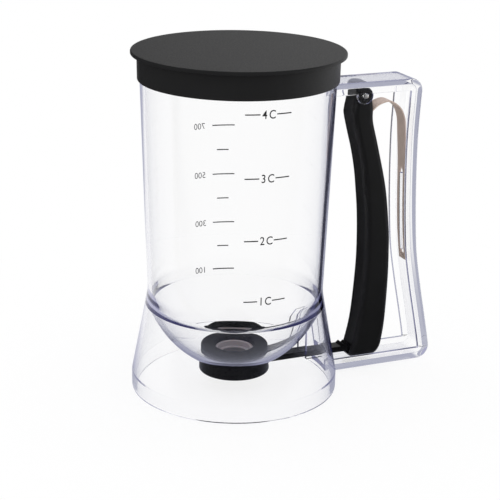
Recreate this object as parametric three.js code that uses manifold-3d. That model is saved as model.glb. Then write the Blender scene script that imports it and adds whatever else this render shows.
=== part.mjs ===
// Pancake batter dispenser: a clear moulded container with a bowl-shaped bottom, a flared
// skirt that it stands on and a channel-shaped handle loop, a press-on lid, and a slide valve
// under the bowl that a sprung trigger inside the handle pulls open.
// Millimetres, +Z up. The barrel's axis is vertical and the handle points along +X. The
// assembly is shifted along X so that the origin lies under the middle of its outline.
import * as THREE from 'three';
import { mergeVertices } from 'three/addons/utils/BufferGeometryUtils.js';
import Module from 'manifold-3d';

const wasm = await Module();
wasm.setup();

// Overall
const totalHeight = 184.15;
const handleReach = 115.75;
const footRadius = 55.5;
const fitGap = 0.3;
const runningGap = 0.1;
const overrun = 1;

// Lid
const lidOverhang = 0.2;
const lidRimRadius = footRadius + lidOverhang;
const lidPlate = 1.9;
const lidHeight = 15.15;
const lidWall = 1.35;
const lidEdge = 0.5;
const lidDraft = 0.25;

// Barrel
const mouthInset = 4.7;
const mouthRadius = footRadius - mouthInset;
const mouthBand = 16;
const barrelTaper = 3.8;
const waistRadius = mouthRadius - barrelTaper;
const wall = 2.4;
const rimEdge = 0.5;

// Collar, where barrel, bowl and skirt meet
const collarProud = 1;
const collarRadius = waistRadius + collarProud;
const collarTop = 55;
const collarBottom = 49;
const collarWeb = 2.2;

// Skirt and foot, and the wall that skirt and bowl share
const lowerWall = 2;
const footProud = 0.5;
const skirtRadius = footRadius - footProud;
const footBand = 9;
const footWall = 2.6;
const footEdge = 0.5;

// Bowl, an ellipse in section that ends in a flat floor
const bowlSpread = 2.9;
const bowlRadius = waistRadius + bowlSpread;
const bowlDepth = 57.5;
const floorUnderside = 15.7;
const floorRadius = 20;
const floorThickness = 2.6;

// Handle loop, a channel open towards the trigger. Its span runs from the mouth to its farthest
// point, and the shares are of that span.
const handleSpan = handleReach - mouthRadius;
const waistShare = 0.79;
const pivotShare = 0.28;
const triggerShare = 0.328;
const handleDrop = 4.5;
const handleTop = totalHeight - lidHeight - handleDrop;
const handleBottom = 2;
const handleWidth = 20.6;
const handleWeb = 3;
const cheekThickness = 2.4;
const cheekDepth = 6.6;
const handleWaist = mouthRadius + waistShare * handleSpan;
const shoulderProud = 1.1;
const shoulderReach = handleWaist + shoulderProud;
const shoulderRadius = 6.9;
const heelRadius = 7;

// Trigger
const pivotReach = mouthRadius + pivotShare * handleSpan;
const pivotDepth = 7.5;
const pivotHeight = handleTop - pivotDepth;
const triggerWidth = 15;
const triggerReach = triggerShare * handleSpan;
const triggerFoot = 6;
const triggerRounding = 1.8;
const headRise = 3;
const headDepth = 12.8;
const headLead = 1.5;
const headBack = 0.6;
const toeFrontLength = 1.8;
const toeBackLength = 6.4;
const toeDepth = 4.2;
const toeSlope = 0.5;
const toeCurl = 1;

// Lugs that hold the pin, rounded tabs below the handle's top
const lugLead = 1.5;
const lugReach = pivotReach - lugLead;
const lugDrop = 2;
const lugHeight = pivotHeight - lugDrop;
const lugRadius = 6.5;

// Pivot pin
const pinRadius = 1.5;

// Return spring, a bent strip of sprung steel
const stripThickness = 0.8;
const stripWidth = 9;
const stripClearance = 0.6;
const legSetback = 1.9;
const innerLegReach = pivotReach + pinRadius + legSetback;
const archDrop = 5.3;
const archHeight = pivotHeight - archDrop;
const archDepth = 43.7;
const archLanding = archHeight - archDepth;
const legLength = 48.5;
const stripEnd = archLanding - legLength;
const slotWidth = 3.4;
const slotMargin = 3.5;
const slotLow = stripEnd + slotMargin;
const slotLength = 51;
const slotHigh = slotLow + slotLength;
const ridgeProud = 0.5;

// Valve
const housingRadius = 19.1;
const housingBottom = 8.3;
const housingFloor = 1.3;
const housingEdge = 0.6;
const outletRadius = 8.2;
const boreRadius = 13.3;
const shutterRadius = 10.5;
const shutterThickness = 2.3;
const seatRadius = 18.6;
const seatFlange = 3.4;
const seatEdge = 1.1;
const seatBore = 10.8;
const seatSleeveBottom = 13.8;
const sealLip = 7.2;
const sealWall = 1.5;
const sealFlange = 0.9;
const sealRecess = 2.5;
const lipTop = 16.3;

// Slide arm
const armWidth = 7;
const armThickness = 3.2;
const armStart = 20;
const shoulderStart = 12;
const toothLead = 4.1;
const toothReach = pivotReach - toothLead;
const toothHeight = 1.3;
const toothHalfBase = 1.6;
const stepHeight = 1.1;
const stepLength = 1.2;
const stepLead = 1.2;
const stepReach = pivotReach - stepLead;
const hookHeight = 2;
const hookLength = 2.5;
const hookGap = 0.5;

// Pocket in the trigger for the arm's hook
const pocketSetback = 3.4;
const pocketFront = pivotReach + pocketSetback;
const pocketShare = 0.66;
const pocketBack = pivotReach + pocketShare * triggerReach;
const pocketBottom = 7.8;
const pocketTop = 17.6;
const pocketSideGap = 2.4;
const slotPlay = 0.4;
const slotDrop = 1.7;

// Guide ribs and window that the arm runs through
const ribLength = 6.5;
const ribTop = 33;
const ribReach = collarRadius - ribLength;
const ribThickness = 2;
const ribSideGap = 0.5;
const windowDrop = 0.6;
const windowRise = 3;

// Counts
const bodySides = 64;
const valveSides = 48;
const smallSides = 32;
const pinSides = 20;
const bowlSteps = 9;
const curveSteps = 3;
const roundingSteps = 3;
const stripSteps = 54;

// Heights and places that follow from the values above
const lidUnderside = totalHeight - lidPlate;
const rimHeight = lidUnderside - fitGap;
const mouthBottom = rimHeight - mouthBand;
const floorTop = floorUnderside + floorThickness;
const bowlCentre = floorUnderside + bowlDepth * Math.sqrt(1 - (floorRadius / bowlRadius) ** 2);
const slideBottom = housingBottom + housingFloor + fitGap;
const slideTop = slideBottom + shutterThickness;
const channelTop = slideTop + fitGap;
const armTop = slideBottom + armThickness;
const housingTop = floorUnderside - fitGap;
const seatBottom = floorTop + fitGap;
const seatTop = seatBottom + seatFlange;

// Shares of the depth of the trigger's head, beyond the pivot and below it
const headFrontShares = [[-0.3, 0.153], [-0.408, 0.708], [-0.4, 1]];
const headBackShares = [[0.577, 0.708], [0.499, 0.248], [0.216, -0.189]];

// Shares of the trigger's reach beyond the pivot, and of the way from its head down to its toe
const gripFrontShares = [
  [-0.127, 0.071], [0, 0.146], [0.108, 0.229], [0.174, 0.308], [0.244, 0.417], [0.277, 0.554],
  [0.258, 0.681], [0.155, 0.871], [-0.02, 1],
];
const gripBackShares = [
  [0.859, 0.983], [0.953, 0.875], [1, 0.693], [0.99, 0.568], [0.958, 0.479], [0.812, 0.303],
  [0.54, 0.127], [0.366, 0.023],
];

// Shares of the handle's flare from its waist to its heel, and of its height, from the top
const handleBackShares = [
  [0.05, 0.09], [0, 0.2], [0.022, 0.345], [0.095, 0.483], [0.22, 0.606],
  [0.46, 0.723], [0.72, 0.83], [0.93, 0.92],
];

// Shares of the spring's span from its inner leg to its landing, and of its arch's height
const archShares = [
  [0, 0.53], [0.01, 0.69], [0.065, 0.83], [0.185, 0.915], [0.33, 0.975], [0.52, 1],
  [0.67, 0.965], [0.82, 0.885], [0.913, 0.75], [0.945, 0.545], [0.97, 0.355], [0.99, 0.165],
];

// Shares of the height of the spring's outer leg, from its landing down to its end
const legShares = [0, 0.34, 0.67, 1];

// Points of the arch that belong to the spring's inner leg
const innerLegCount = 4;

// The least cosine that a corner's sharpness is allowed for, when a line is set off sideways
const leastTurnShare = 0.5;

// Shapes and solids

// A closed solid from a geometry, its shared vertices merged and collapsed faces left out
function toSolid(geometry) {
  geometry.deleteAttribute('normal');
  geometry.deleteAttribute('uv');
  const merged = mergeVertices(geometry);
  const corners = [];
  for (let i = 0; i < merged.index.count; i += 3) {
    const face = [merged.index.getX(i), merged.index.getX(i + 1), merged.index.getX(i + 2)];
    if (new Set(face).size === 3) corners.push(...face);
  }
  return new wasm.Manifold(new wasm.Mesh({
    numProp: 3,
    vertProperties: new Float32Array(merged.attributes.position.array),
    triVerts: new Uint32Array(corners),
  }));
}

// A geometry from a solid
function toGeometry(solid) {
  const mesh = solid.getMesh();
  const geometry = new THREE.BufferGeometry();
  geometry.setAttribute('position', new THREE.BufferAttribute(mesh.vertProperties, 3));
  geometry.setIndex(new THREE.BufferAttribute(mesh.triVerts, 1));
  geometry.computeVertexNormals();
  return geometry;
}

// A solid of revolution about +Z from [radius, height] points, up the outside and down the inside
function revolve(profile, sides = bodySides) {
  const points = profile.map(([radius, height]) => new THREE.Vector2(radius, height));
  if (profile[0][0] > 0) points.push(points[0].clone());
  return toSolid(new THREE.LatheGeometry(points, sides).rotateX(Math.PI / 2));
}

// An outline in X and Z, carried along Y, centred on yCentre, with rounded edges if asked
function extrudeAcross(shape, width, yCentre = 0, rounding = 0) {
  const geometry = new THREE.ExtrudeGeometry(shape, {
    depth: width - 2 * rounding,
    curveSegments: curveSteps,
    bevelEnabled: rounding > 0,
    bevelThickness: rounding,
    bevelSize: rounding,
    bevelOffset: -rounding,
    bevelSegments: roundingSteps,
  });
  geometry.translate(0, 0, rounding - width / 2);
  geometry.rotateX(Math.PI / 2);
  geometry.translate(0, yCentre, 0);
  return toSolid(geometry);
}

// An outline in X and Y, carried from one height to another
function extrudeUp(shape, low, high) {
  const options = { depth: high - low, curveSegments: smallSides / 2, bevelEnabled: false };
  return toSolid(new THREE.ExtrudeGeometry(shape, options).translate(0, 0, low));
}

// An outline in Y and Z, carried along X
function extrudeOut(shape, start, end) {
  const geometry = new THREE.ExtrudeGeometry(shape, { depth: end - start, bevelEnabled: false });
  geometry.rotateX(Math.PI / 2);
  geometry.rotateZ(Math.PI / 2);
  return toSolid(geometry.translate(start, 0, 0));
}

// A box between two corners
function block(low, high) {
  const size = high.map((value, axis) => value - low[axis]);
  const middle = high.map((value, axis) => (value + low[axis]) / 2);
  return toSolid(new THREE.BoxGeometry(...size).translate(...middle));
}

// A round bar along Y
function crossBar(reach, height, radius, length, sides = pinSides) {
  const bar = new THREE.CylinderGeometry(radius, radius, length, sides);
  return toSolid(bar.translate(reach, 0, height));
}

function shapeOf(points) {
  return new THREE.Shape(points.map(([across, up]) => new THREE.Vector2(across, up)));
}

// Points beside an open line of points, at a distance to its left as one walks along it
function beside(line, distance) {
  return line.map((point, i) => {
    const before = line[Math.max(i - 1, 0)];
    const after = line[Math.min(i + 1, line.length - 1)];
    const arriving = point.clone().sub(i > 0 ? before : point).normalize();
    const leaving = after.clone().sub(i < line.length - 1 ? point : before).normalize();
    const along = arriving.lengthSq() > 0 ? arriving.add(leaving).normalize() : leaving;
    const stretch = 1 / Math.max(Math.abs(along.dot(leaving)), leastTurnShare);
    const aside = new THREE.Vector2(-along.y, along.x).multiplyScalar(distance * stretch);
    return point.clone().add(aside);
  });
}

// A band between two lines beside an open line of points
function band(line, nearDistance, farDistance) {
  return new THREE.Shape([...beside(line, nearDistance), ...beside(line, farDistance).reverse()]);
}

// Where a line of points crosses a height
function reachAt(line, height) {
  const i = line.findIndex((point, k) => k > 0 && (point.y - height) * (line[k - 1].y - height) <= 0
    && point.y !== line[k - 1].y);
  const share = (height - line[i - 1].y) / (line[i].y - line[i - 1].y);
  return line[i - 1].x + share * (line[i].x - line[i - 1].x);
}

// Container

function bowlAt(height, inset, rise) {
  const share = (bowlCentre - height) / (bowlDepth - rise);
  return (bowlRadius - inset) * Math.sqrt(1 - share ** 2);
}

// [radius, height] points down the bowl's wall from one height to another
function bowlWall(from, to, inset, rise) {
  return Array.from({ length: bowlSteps + 1 }, (_, i) => {
    const height = bowlCentre - (bowlDepth - rise) * Math.sin(
      THREE.MathUtils.lerp(
        Math.asin((bowlCentre - from) / (bowlDepth - rise)),
        Math.asin((bowlCentre - to) / (bowlDepth - rise)),
        i / bowlSteps,
      ),
    );
    return [bowlAt(height, inset, rise), height];
  });
}

const barrelInner = waistRadius - wall;
const skirtDraft = (skirtRadius - collarRadius) / (collarBottom - footBand);
const bowlJoin = bowlCentre
  - (bowlDepth - floorThickness) * Math.sqrt(1 - (barrelInner / (bowlRadius - lowerWall)) ** 2);
const skirtVoidTop = collarBottom - collarWeb;

const outside = revolve([
  [0, 0],
  [footRadius - footEdge, 0],
  [footRadius, footEdge],
  [footRadius, footBand],
  [skirtRadius, footBand + footEdge],
  [collarRadius, collarBottom],
  [waistRadius, collarTop],
  [mouthRadius, mouthBottom],
  [mouthRadius, rimHeight - rimEdge],
  [mouthRadius - rimEdge, rimHeight],
  [0, rimHeight],
]);

const bowlSpace = revolve([
  [0, floorUnderside - overrun],
  [boreRadius, floorUnderside - overrun],
  [boreRadius, floorTop],
  ...bowlWall(floorTop, bowlJoin, lowerWall, floorThickness),
  [mouthRadius - wall, mouthBottom],
  [mouthRadius - wall, rimHeight + overrun],
  [0, rimHeight + overrun],
]);

const skirtSpace = revolve([
  [0, -overrun],
  [footRadius - footWall, -overrun],
  [footRadius - footWall, footBand],
  [collarRadius - lowerWall + collarWeb * skirtDraft, skirtVoidTop],
  ...bowlWall(skirtVoidTop, floorUnderside, 0, 0),
  [0, floorUnderside],
]);

const ribInner = armWidth / 2 + ribSideGap;
const ribs = [-1, 1].map((side) => block(
  [ribReach, side > 0 ? ribInner : -ribInner - ribThickness, slideBottom - windowDrop],
  [footRadius, side > 0 ? ribInner + ribThickness : -ribInner, ribTop],
));
const armWindow = block(
  [collarRadius - wall, -ribInner, slideBottom - windowDrop],
  [footRadius + overrun, ribInner, armTop + windowRise],
);

// The handle's outer edge, from inside the barrel over the shoulder and down to the foot
const handleEdge = new THREE.Path();
const flare = handleReach - handleWaist;
handleEdge.moveTo(waistRadius - handleWidth, handleTop);
handleEdge.lineTo(shoulderReach - shoulderRadius, handleTop);
handleEdge.absarc(
  shoulderReach - shoulderRadius,
  handleTop - shoulderRadius,
  shoulderRadius,
  Math.PI / 2,
  0,
  true,
);
handleEdge.splineThru([
  ...handleBackShares.map(([out, down]) => new THREE.Vector2(
    handleWaist + out * flare,
    handleTop - down * (handleTop - handleBottom),
  )),
  new THREE.Vector2(handleReach, handleBottom + heelRadius),
]);
handleEdge.absarc(
  handleReach - heelRadius,
  handleBottom + heelRadius,
  heelRadius,
  0,
  -Math.PI / 2,
  true,
);
handleEdge.lineTo(waistRadius - handleWidth, handleBottom);
const handleLine = handleEdge.getPoints(curveSteps);

const webBand = extrudeAcross(band(handleLine, 0, -handleWeb), handleWidth);
const cheekCentre = (handleWidth - cheekThickness) / 2;
const cheekShape = band(handleLine, 0, -cheekDepth);
const cheeks = [-cheekCentre, cheekCentre].flatMap((place) => [
  extrudeAcross(cheekShape, cheekThickness, place),
  toSolid(new THREE.CylinderGeometry(lugRadius, lugRadius, cheekThickness, smallSides)
    .translate(lugReach, place, lugHeight)),
]);

// The ridge on the handle's web that the spring's slot sits over
const ridgeGap = 2 * fitGap;
const ridgeLine = handleLine.filter((point) => point.x > pivotReach
  && point.y > slotLow + ridgeGap && point.y < slotHigh - slotWidth);
const ridgeDepth = handleWeb + fitGap + stripThickness + ridgeProud;
const ridge = extrudeAcross(band(ridgeLine, -handleWeb / 2, -ridgeDepth), slotWidth - 2 * ridgeGap);

function makeContainer() {
  let handle = webBand;
  for (const piece of [...cheeks, ridge]) handle = handle.add(piece);
  let skirtHollow = skirtSpace;
  for (const rib of ribs) skirtHollow = skirtHollow.subtract(rib);
  return outside.add(handle)
    .subtract(bowlSpace)
    .subtract(skirtHollow)
    .subtract(armWindow)
    .subtract(crossBar(pivotReach, pivotHeight, pinRadius + runningGap, handleWidth + overrun));
}

// Lid

function makeLid() {
  const inner = mouthRadius + fitGap;
  const outer = inner + lidWall;
  const lidBottom = totalHeight - lidHeight;
  return revolve([
    [0, lidUnderside],
    [inner, lidUnderside],
    [inner, lidBottom],
    [outer - lidDraft, lidBottom],
    [outer, lidUnderside],
    [lidRimRadius - lidEdge, lidUnderside],
    [lidRimRadius, lidUnderside + lidEdge],
    [lidRimRadius, totalHeight - lidEdge],
    [lidRimRadius - lidEdge, totalHeight],
    [0, totalHeight],
  ]);
}

// Spring

const stripSetting = handleWeb + fitGap + stripThickness / 2;
const webReach = (height) => reachAt(handleLine.slice(1), height) - stripSetting;
const landing = webReach(archLanding);
const archPoints = archShares.map(([across, up]) => new THREE.Vector2(
  THREE.MathUtils.lerp(innerLegReach, landing, across),
  THREE.MathUtils.lerp(archLanding, archHeight, up),
));
const legPoints = legShares.map((share) => {
  const height = THREE.MathUtils.lerp(archLanding, stripEnd, share);
  return new THREE.Vector2(webReach(height), height);
});
const stripLine = new THREE.SplineCurve([...archPoints, ...legPoints]).getPoints(stripSteps);

function makeSpring() {
  const half = stripThickness / 2;
  const strip = extrudeAcross(band(stripLine, -half, half), stripWidth);
  const side = slotWidth / 2;
  const slot = shapeOf([
    [-side, slotLow],
    [side, slotLow],
    [side, slotHigh - slotWidth],
    [0, slotHigh],
    [-side, slotHigh - slotWidth],
  ]);
  return strip.subtract(extrudeOut(slot, landing - slotWidth, handleReach));
}

// Trigger

function makeTrigger() {
  const placeHead = ([across, down]) => new THREE.Vector2(
    pivotReach + across * headDepth,
    pivotHeight - down * headDepth,
  );
  const placeGrip = ([across, down]) => new THREE.Vector2(
    pivotReach + across * triggerReach,
    THREE.MathUtils.lerp(pivotHeight - headDepth, triggerFoot + toeDepth, down),
  );
  const outline = new THREE.Shape();
  const gripFront = [...headFrontShares.map(placeHead), ...gripFrontShares.map(placeGrip)];
  const gripBack = [...gripBackShares.map(placeGrip), ...headBackShares.map(placeHead)];
  outline.moveTo(pivotReach - headLead, pivotHeight + headRise);
  outline.splineThru(gripFront);
  outline.quadraticCurveTo(
    gripFront.at(-1).x - toeCurl,
    triggerFoot + toeSlope,
    gripFront.at(-1).x + toeFrontLength,
    triggerFoot + toeSlope,
  );
  outline.lineTo(gripBack[0].x - toeBackLength, triggerFoot - toeSlope);
  outline.quadraticCurveTo(
    gripBack[0].x - toeCurl,
    triggerFoot - toeSlope + toeCurl,
    gripBack[0].x,
    gripBack[0].y,
  );
  outline.splineThru(gripBack.slice(1));
  outline.lineTo(pivotReach + headBack, pivotHeight + headRise);
  const blank = extrudeAcross(outline, triggerWidth, 0, triggerRounding);
  const legLine = stripLine.filter((point) => point.x < archPoints[innerLegCount].x);
  const springPocket = extrudeAcross(
    band(legLine, -stripClearance - stripThickness / 2, stripClearance + stripThickness / 2),
    stripWidth + 2 * fitGap,
  );
  const armPocket = block(
    [pocketFront, -armWidth / 2 - pocketSideGap, pocketBottom],
    [pocketBack, armWidth / 2 + pocketSideGap, pocketTop],
  );
  const armSlot = block(
    [toothReach, -armWidth / 2 - slotPlay, slideBottom - slotDrop],
    [pocketFront + overrun, armWidth / 2 + slotPlay, armTop + slotPlay],
  );
  return blank
    .subtract(crossBar(pivotReach, pivotHeight, pinRadius + runningGap, triggerWidth + overrun))
    .subtract(springPocket)
    .subtract(armPocket)
    .subtract(armSlot);
}

// Valve

function makeHousing() {
  const body = revolve([
    [outletRadius, housingBottom],
    [housingRadius - housingEdge, housingBottom],
    [housingRadius, housingBottom + housingEdge],
    [housingRadius, housingTop],
    [boreRadius, housingTop],
    [boreRadius, channelTop],
    [outletRadius, channelTop],
  ], valveSides);
  const channelHalf = shutterRadius + fitGap;
  const channelPlan = new THREE.Shape();
  channelPlan.moveTo(housingRadius + overrun, channelHalf);
  channelPlan.lineTo(0, channelHalf);
  channelPlan.absarc(0, 0, channelHalf, Math.PI / 2, 3 * Math.PI / 2);
  channelPlan.lineTo(housingRadius + overrun, -channelHalf);
  const channel = extrudeUp(channelPlan, housingBottom + housingFloor, channelTop);
  const armSpace = block(
    [boreRadius, -channelHalf, housingBottom + housingFloor],
    [housingRadius + overrun, channelHalf, channelTop],
  );
  return body.subtract(channel).subtract(armSpace);
}

function makeSeat() {
  return revolve([
    [seatBore, seatSleeveBottom],
    [boreRadius - fitGap, seatSleeveBottom],
    [boreRadius - fitGap, seatBottom],
    [seatRadius, seatBottom],
    [seatRadius, seatTop - seatEdge],
    [seatRadius - seatEdge, seatTop],
    [seatBore + seatEdge, seatTop],
    [seatBore, seatTop - seatEdge],
  ], valveSides);
}

function makeSeal() {
  const outer = seatBore - fitGap;
  const inner = outer - sealWall;
  return revolve([
    [inner, channelTop],
    [boreRadius - 2 * fitGap, channelTop],
    [boreRadius - 2 * fitGap, channelTop + sealFlange],
    [outer, channelTop + sealFlange],
    [outer, seatTop - sealRecess],
    [inner, seatTop - sealRecess],
    [inner, lipTop],
    [sealLip, lipTop],
    [sealLip, lipTop - sealFlange],
    [inner, lipTop - sealFlange],
  ], valveSides);
}

// The slide: a round-ended shutter and an arm with its tooth, step and hook
function makeSlide() {
  const half = armWidth / 2;
  const plan = new THREE.Shape();
  plan.moveTo(armStart, half);
  plan.lineTo(shoulderStart, shutterRadius);
  plan.lineTo(0, shutterRadius);
  plan.absarc(0, 0, shutterRadius, Math.PI / 2, 3 * Math.PI / 2);
  plan.lineTo(shoulderStart, -shutterRadius);
  plan.lineTo(armStart, -half);
  plan.lineTo(armStart + armWidth, -half);
  plan.lineTo(armStart + armWidth, half);
  const hookFront = pocketFront + hookGap;
  const side = shapeOf([
    [armStart, slideBottom],
    [hookFront + hookLength, slideBottom],
    [hookFront + hookLength, armTop + hookHeight],
    [hookFront, armTop + hookHeight],
    [hookFront, armTop],
    [stepReach, armTop],
    [stepReach, armTop + stepHeight],
    [stepReach - stepLength, armTop],
    [toothReach + toothHalfBase, armTop],
    [toothReach, armTop + toothHeight],
    [toothReach - toothHalfBase, armTop],
    [armStart + armThickness, armTop],
    [armStart, slideTop],
  ]);
  return extrudeUp(plan, slideBottom, slideTop).add(extrudeAcross(side, armWidth));
}

function makePin() {
  return crossBar(pivotReach, pivotHeight, pinRadius, handleWidth);
}

// Assembly

function finish(colour, roughness, metalness, opacity = 1) {
  return new THREE.MeshStandardMaterial({
    color: colour,
    roughness,
    metalness,
    opacity,
    transparent: opacity < 1,
  });
}

const pieces = [
  ['container', makeContainer, finish(0xeceef4, 0.06, 0, 0.35)],
  ['lid', makeLid, finish(0x2e2e2f, 0.5, 0)],
  ['trigger', makeTrigger, finish(0x1e1e1f, 0.45, 0)],
  ['pivot_pin', makePin, finish(0xc9c9c9, 0.3, 1)],
  ['return_spring', makeSpring, finish(0xb9aca2, 0.3, 1)],
  ['valve_slide', makeSlide, finish(0x1a1a1b, 0.4, 0)],
  ['valve_housing', makeHousing, finish(0x161617, 0.4, 0)],
  ['valve_seat', makeSeat, finish(0x363637, 0.5, 0)],
  ['valve_seal', makeSeal, finish(0x9c9394, 0.6, 0)],
];

const dispenser = new THREE.Group();
const assembly = new THREE.Group();
assembly.position.x = (lidRimRadius - handleReach) / 2;
dispenser.add(assembly);
for (const [name, make, material] of pieces) {
  const mesh = new THREE.Mesh(toGeometry(make()), material);
  mesh.name = name;
  assembly.add(mesh);
}

export default dispenser;
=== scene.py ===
"""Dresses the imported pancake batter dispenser: a clear moulded jug with a bowl-shaped bottom, a
press-on lid, and a slide valve that a sprung trigger inside its handle pulls open.

Every piece is worked out with numpy in the barrel's own frame, with its axis vertical and its
handle along +X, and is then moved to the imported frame. Lengths are in metres.
"""

import bmesh
import bpy
import numpy as np
from bpy.props import FloatProperty, FloatVectorProperty, IntProperty, PointerProperty
from mathutils import Matrix, Vector


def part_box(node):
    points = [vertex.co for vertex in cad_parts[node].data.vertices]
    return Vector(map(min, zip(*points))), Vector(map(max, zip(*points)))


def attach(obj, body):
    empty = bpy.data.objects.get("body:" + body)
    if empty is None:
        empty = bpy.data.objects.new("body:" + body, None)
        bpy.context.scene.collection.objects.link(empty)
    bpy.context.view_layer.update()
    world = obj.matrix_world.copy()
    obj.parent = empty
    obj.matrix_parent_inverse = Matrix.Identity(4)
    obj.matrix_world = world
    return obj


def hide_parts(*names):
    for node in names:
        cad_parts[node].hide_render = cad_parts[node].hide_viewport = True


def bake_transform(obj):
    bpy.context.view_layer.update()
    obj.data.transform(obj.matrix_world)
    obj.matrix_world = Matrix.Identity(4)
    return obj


bl_info = {
    "name": "Pancake Batter Dispenser",
    "version": (1, 0, 0),
    "blender": (4, 5, 0),
    "location": "View3D > Sidebar > Dispenser",
    "description": "Builds the clear dispenser with its lid, trigger, spring and valve",
    "category": "Add Mesh",
}

MM = 0.001

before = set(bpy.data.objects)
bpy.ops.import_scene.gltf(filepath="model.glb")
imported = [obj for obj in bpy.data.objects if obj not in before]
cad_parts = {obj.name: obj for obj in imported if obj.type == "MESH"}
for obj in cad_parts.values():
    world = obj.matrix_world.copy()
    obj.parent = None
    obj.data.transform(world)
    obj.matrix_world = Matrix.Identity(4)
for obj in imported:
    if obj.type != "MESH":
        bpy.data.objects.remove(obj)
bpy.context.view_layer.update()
LID_LOW, LID_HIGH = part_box("lid")
JUG_LOW, JUG_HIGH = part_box("container")
PIN_LOW, PIN_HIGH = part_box("pivot_pin")
TRIGGER_LOW, TRIGGER_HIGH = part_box("trigger")
SPRING_LOW, SPRING_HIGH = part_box("return_spring")
CUP_LOW, CUP_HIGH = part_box("valve_housing")
RING_LOW, RING_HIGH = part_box("valve_seat")
SEAL_LOW, SEAL_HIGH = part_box("valve_seal")
SLIDE_LOW, SLIDE_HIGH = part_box("valve_slide")
AXIS_X = (LID_LOW.x + LID_HIGH.x) / 2
PIN_REACH = (PIN_LOW.x + PIN_HIGH.x) / 2 - AXIS_X
PIN_HEIGHT = (PIN_LOW.z + PIN_HIGH.z) / 2


# Settings


def linear(code):
    """Linear colour with alpha from an sRGB hex code: each share c becomes c / 12.92 below
    0.04045, and ((c + 0.055) / 1.055) to the power 2.4 above it."""
    share = np.array([int(code[i : i + 2], 16) for i in (1, 3, 5)]) / 255
    light = np.where(share <= 0.04045, share / 12.92, ((share + 0.055) / 1.055) ** 2.4)
    return (*light.tolist(), 1.0)


def length(name, description, value):
    """A size in metres."""
    return FloatProperty(
        name=name,
        description=description,
        default=value,
        unit="LENGTH",
        subtype="DISTANCE",
        precision=5,
    )


def turn(name, description, degrees):
    """An angle, kept in radians."""
    return FloatProperty(
        name=name,
        description=description,
        default=np.radians(degrees),
        unit="ROTATION",
        subtype="ANGLE",
    )


def count(name, description, value):
    """A whole number of at least 1."""
    return IntProperty(name=name, description=description, default=value, min=1)


def amount(name, description, value):
    """A number without a unit."""
    return FloatProperty(name=name, description=description, default=value)


def tint(name, description, code):
    """A colour, kept in linear light, from an sRGB hex code."""
    return FloatVectorProperty(
        name=name,
        description=description,
        default=linear(code),
        size=4,
        subtype="COLOR",
        min=0,
        max=1,
    )


class ContainerSizes(bpy.types.PropertyGroup):
    """Barrel, collar, skirt and bowl of the clear moulding."""

    rim_height: length("Rim height", "Height of the barrel's rim", JUG_HIGH.z)
    rim_edge: length("Rim edge", "Rounding of the rim", 0.9 * MM)
    mouth_radius: length("Mouth radius", "Outer radius under the lid", 50.8 * MM)
    mouth_band: length("Mouth band", "Height of the straight band under the lid", 16 * MM)
    waist_radius: length("Waist radius", "Outer radius of the barrel at the collar", 47 * MM)
    wall: length("Wall", "Thickness of the barrel", 2.4 * MM)
    lower_wall: length("Lower wall", "Thickness of bowl and skirt", 2 * MM)
    collar_radius: length("Collar radius", "Outer radius of the collar", 48 * MM)
    collar_top: length("Collar top", "Height at which the barrel begins", 55 * MM)
    collar_bottom: length("Collar bottom", "Height at which the skirt begins to flare", 49 * MM)
    collar_web: length("Collar web", "Height of the web between bowl and skirt", 2.2 * MM)
    collar_edge: length("Collar edge", "Rounding where the skirt begins", 2 * MM)
    web_edge: length("Web edge", "Rounding of the corner below the web", 0.2 * MM)
    barrel_edge: length("Barrel edge", "Rounding at the waist and below the mouth", 20 * MM)
    join_edge: length("Join edge", "Rounding where the barrel's inside meets the bowl", 8 * MM)
    skirt_radius: length("Skirt radius", "Outer radius of the skirt above its foot", 55 * MM)
    foot_radius: length("Foot radius", "Outer radius of the foot", JUG_HIGH.y)
    foot_band: length("Foot band", "Height of the foot", 9 * MM)
    foot_wall: length("Foot wall", "Thickness of the foot", 2.6 * MM)
    foot_edge: length("Foot edge", "Rounding of the foot's lower edges", 0.9 * MM)
    foot_shoulder: length("Foot shoulder", "Rounding between foot and skirt", 1.5 * MM)
    bowl_radius: length("Bowl radius", "Outer half width of the bowl's ellipse", 49.9 * MM)
    bowl_depth: length("Bowl depth", "Outer half depth of the bowl's ellipse", 57.5 * MM)
    floor_underside: length("Floor underside", "Height of the bowl's flat underside", 15.7 * MM)
    floor_radius: length("Floor radius", "Radius of the flat underside", 20 * MM)
    floor_thickness: length("Floor thickness", "Thickness of the bowl's floor", 2.6 * MM)
    bore_radius: length("Bore radius", "Hole in the floor for the valve", 13.3 * MM)
    bore_edge: length("Bore edge", "Rounding of that hole's edges", 0.3 * MM)
    step: length("Step", "Longest stretch between two points of the profile", 2.5 * MM)
    sides: count("Sides", "Steps around the barrel", 240)
    bowl_steps: count("Bowl steps", "Steps down the bowl's wall", 48)


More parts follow.
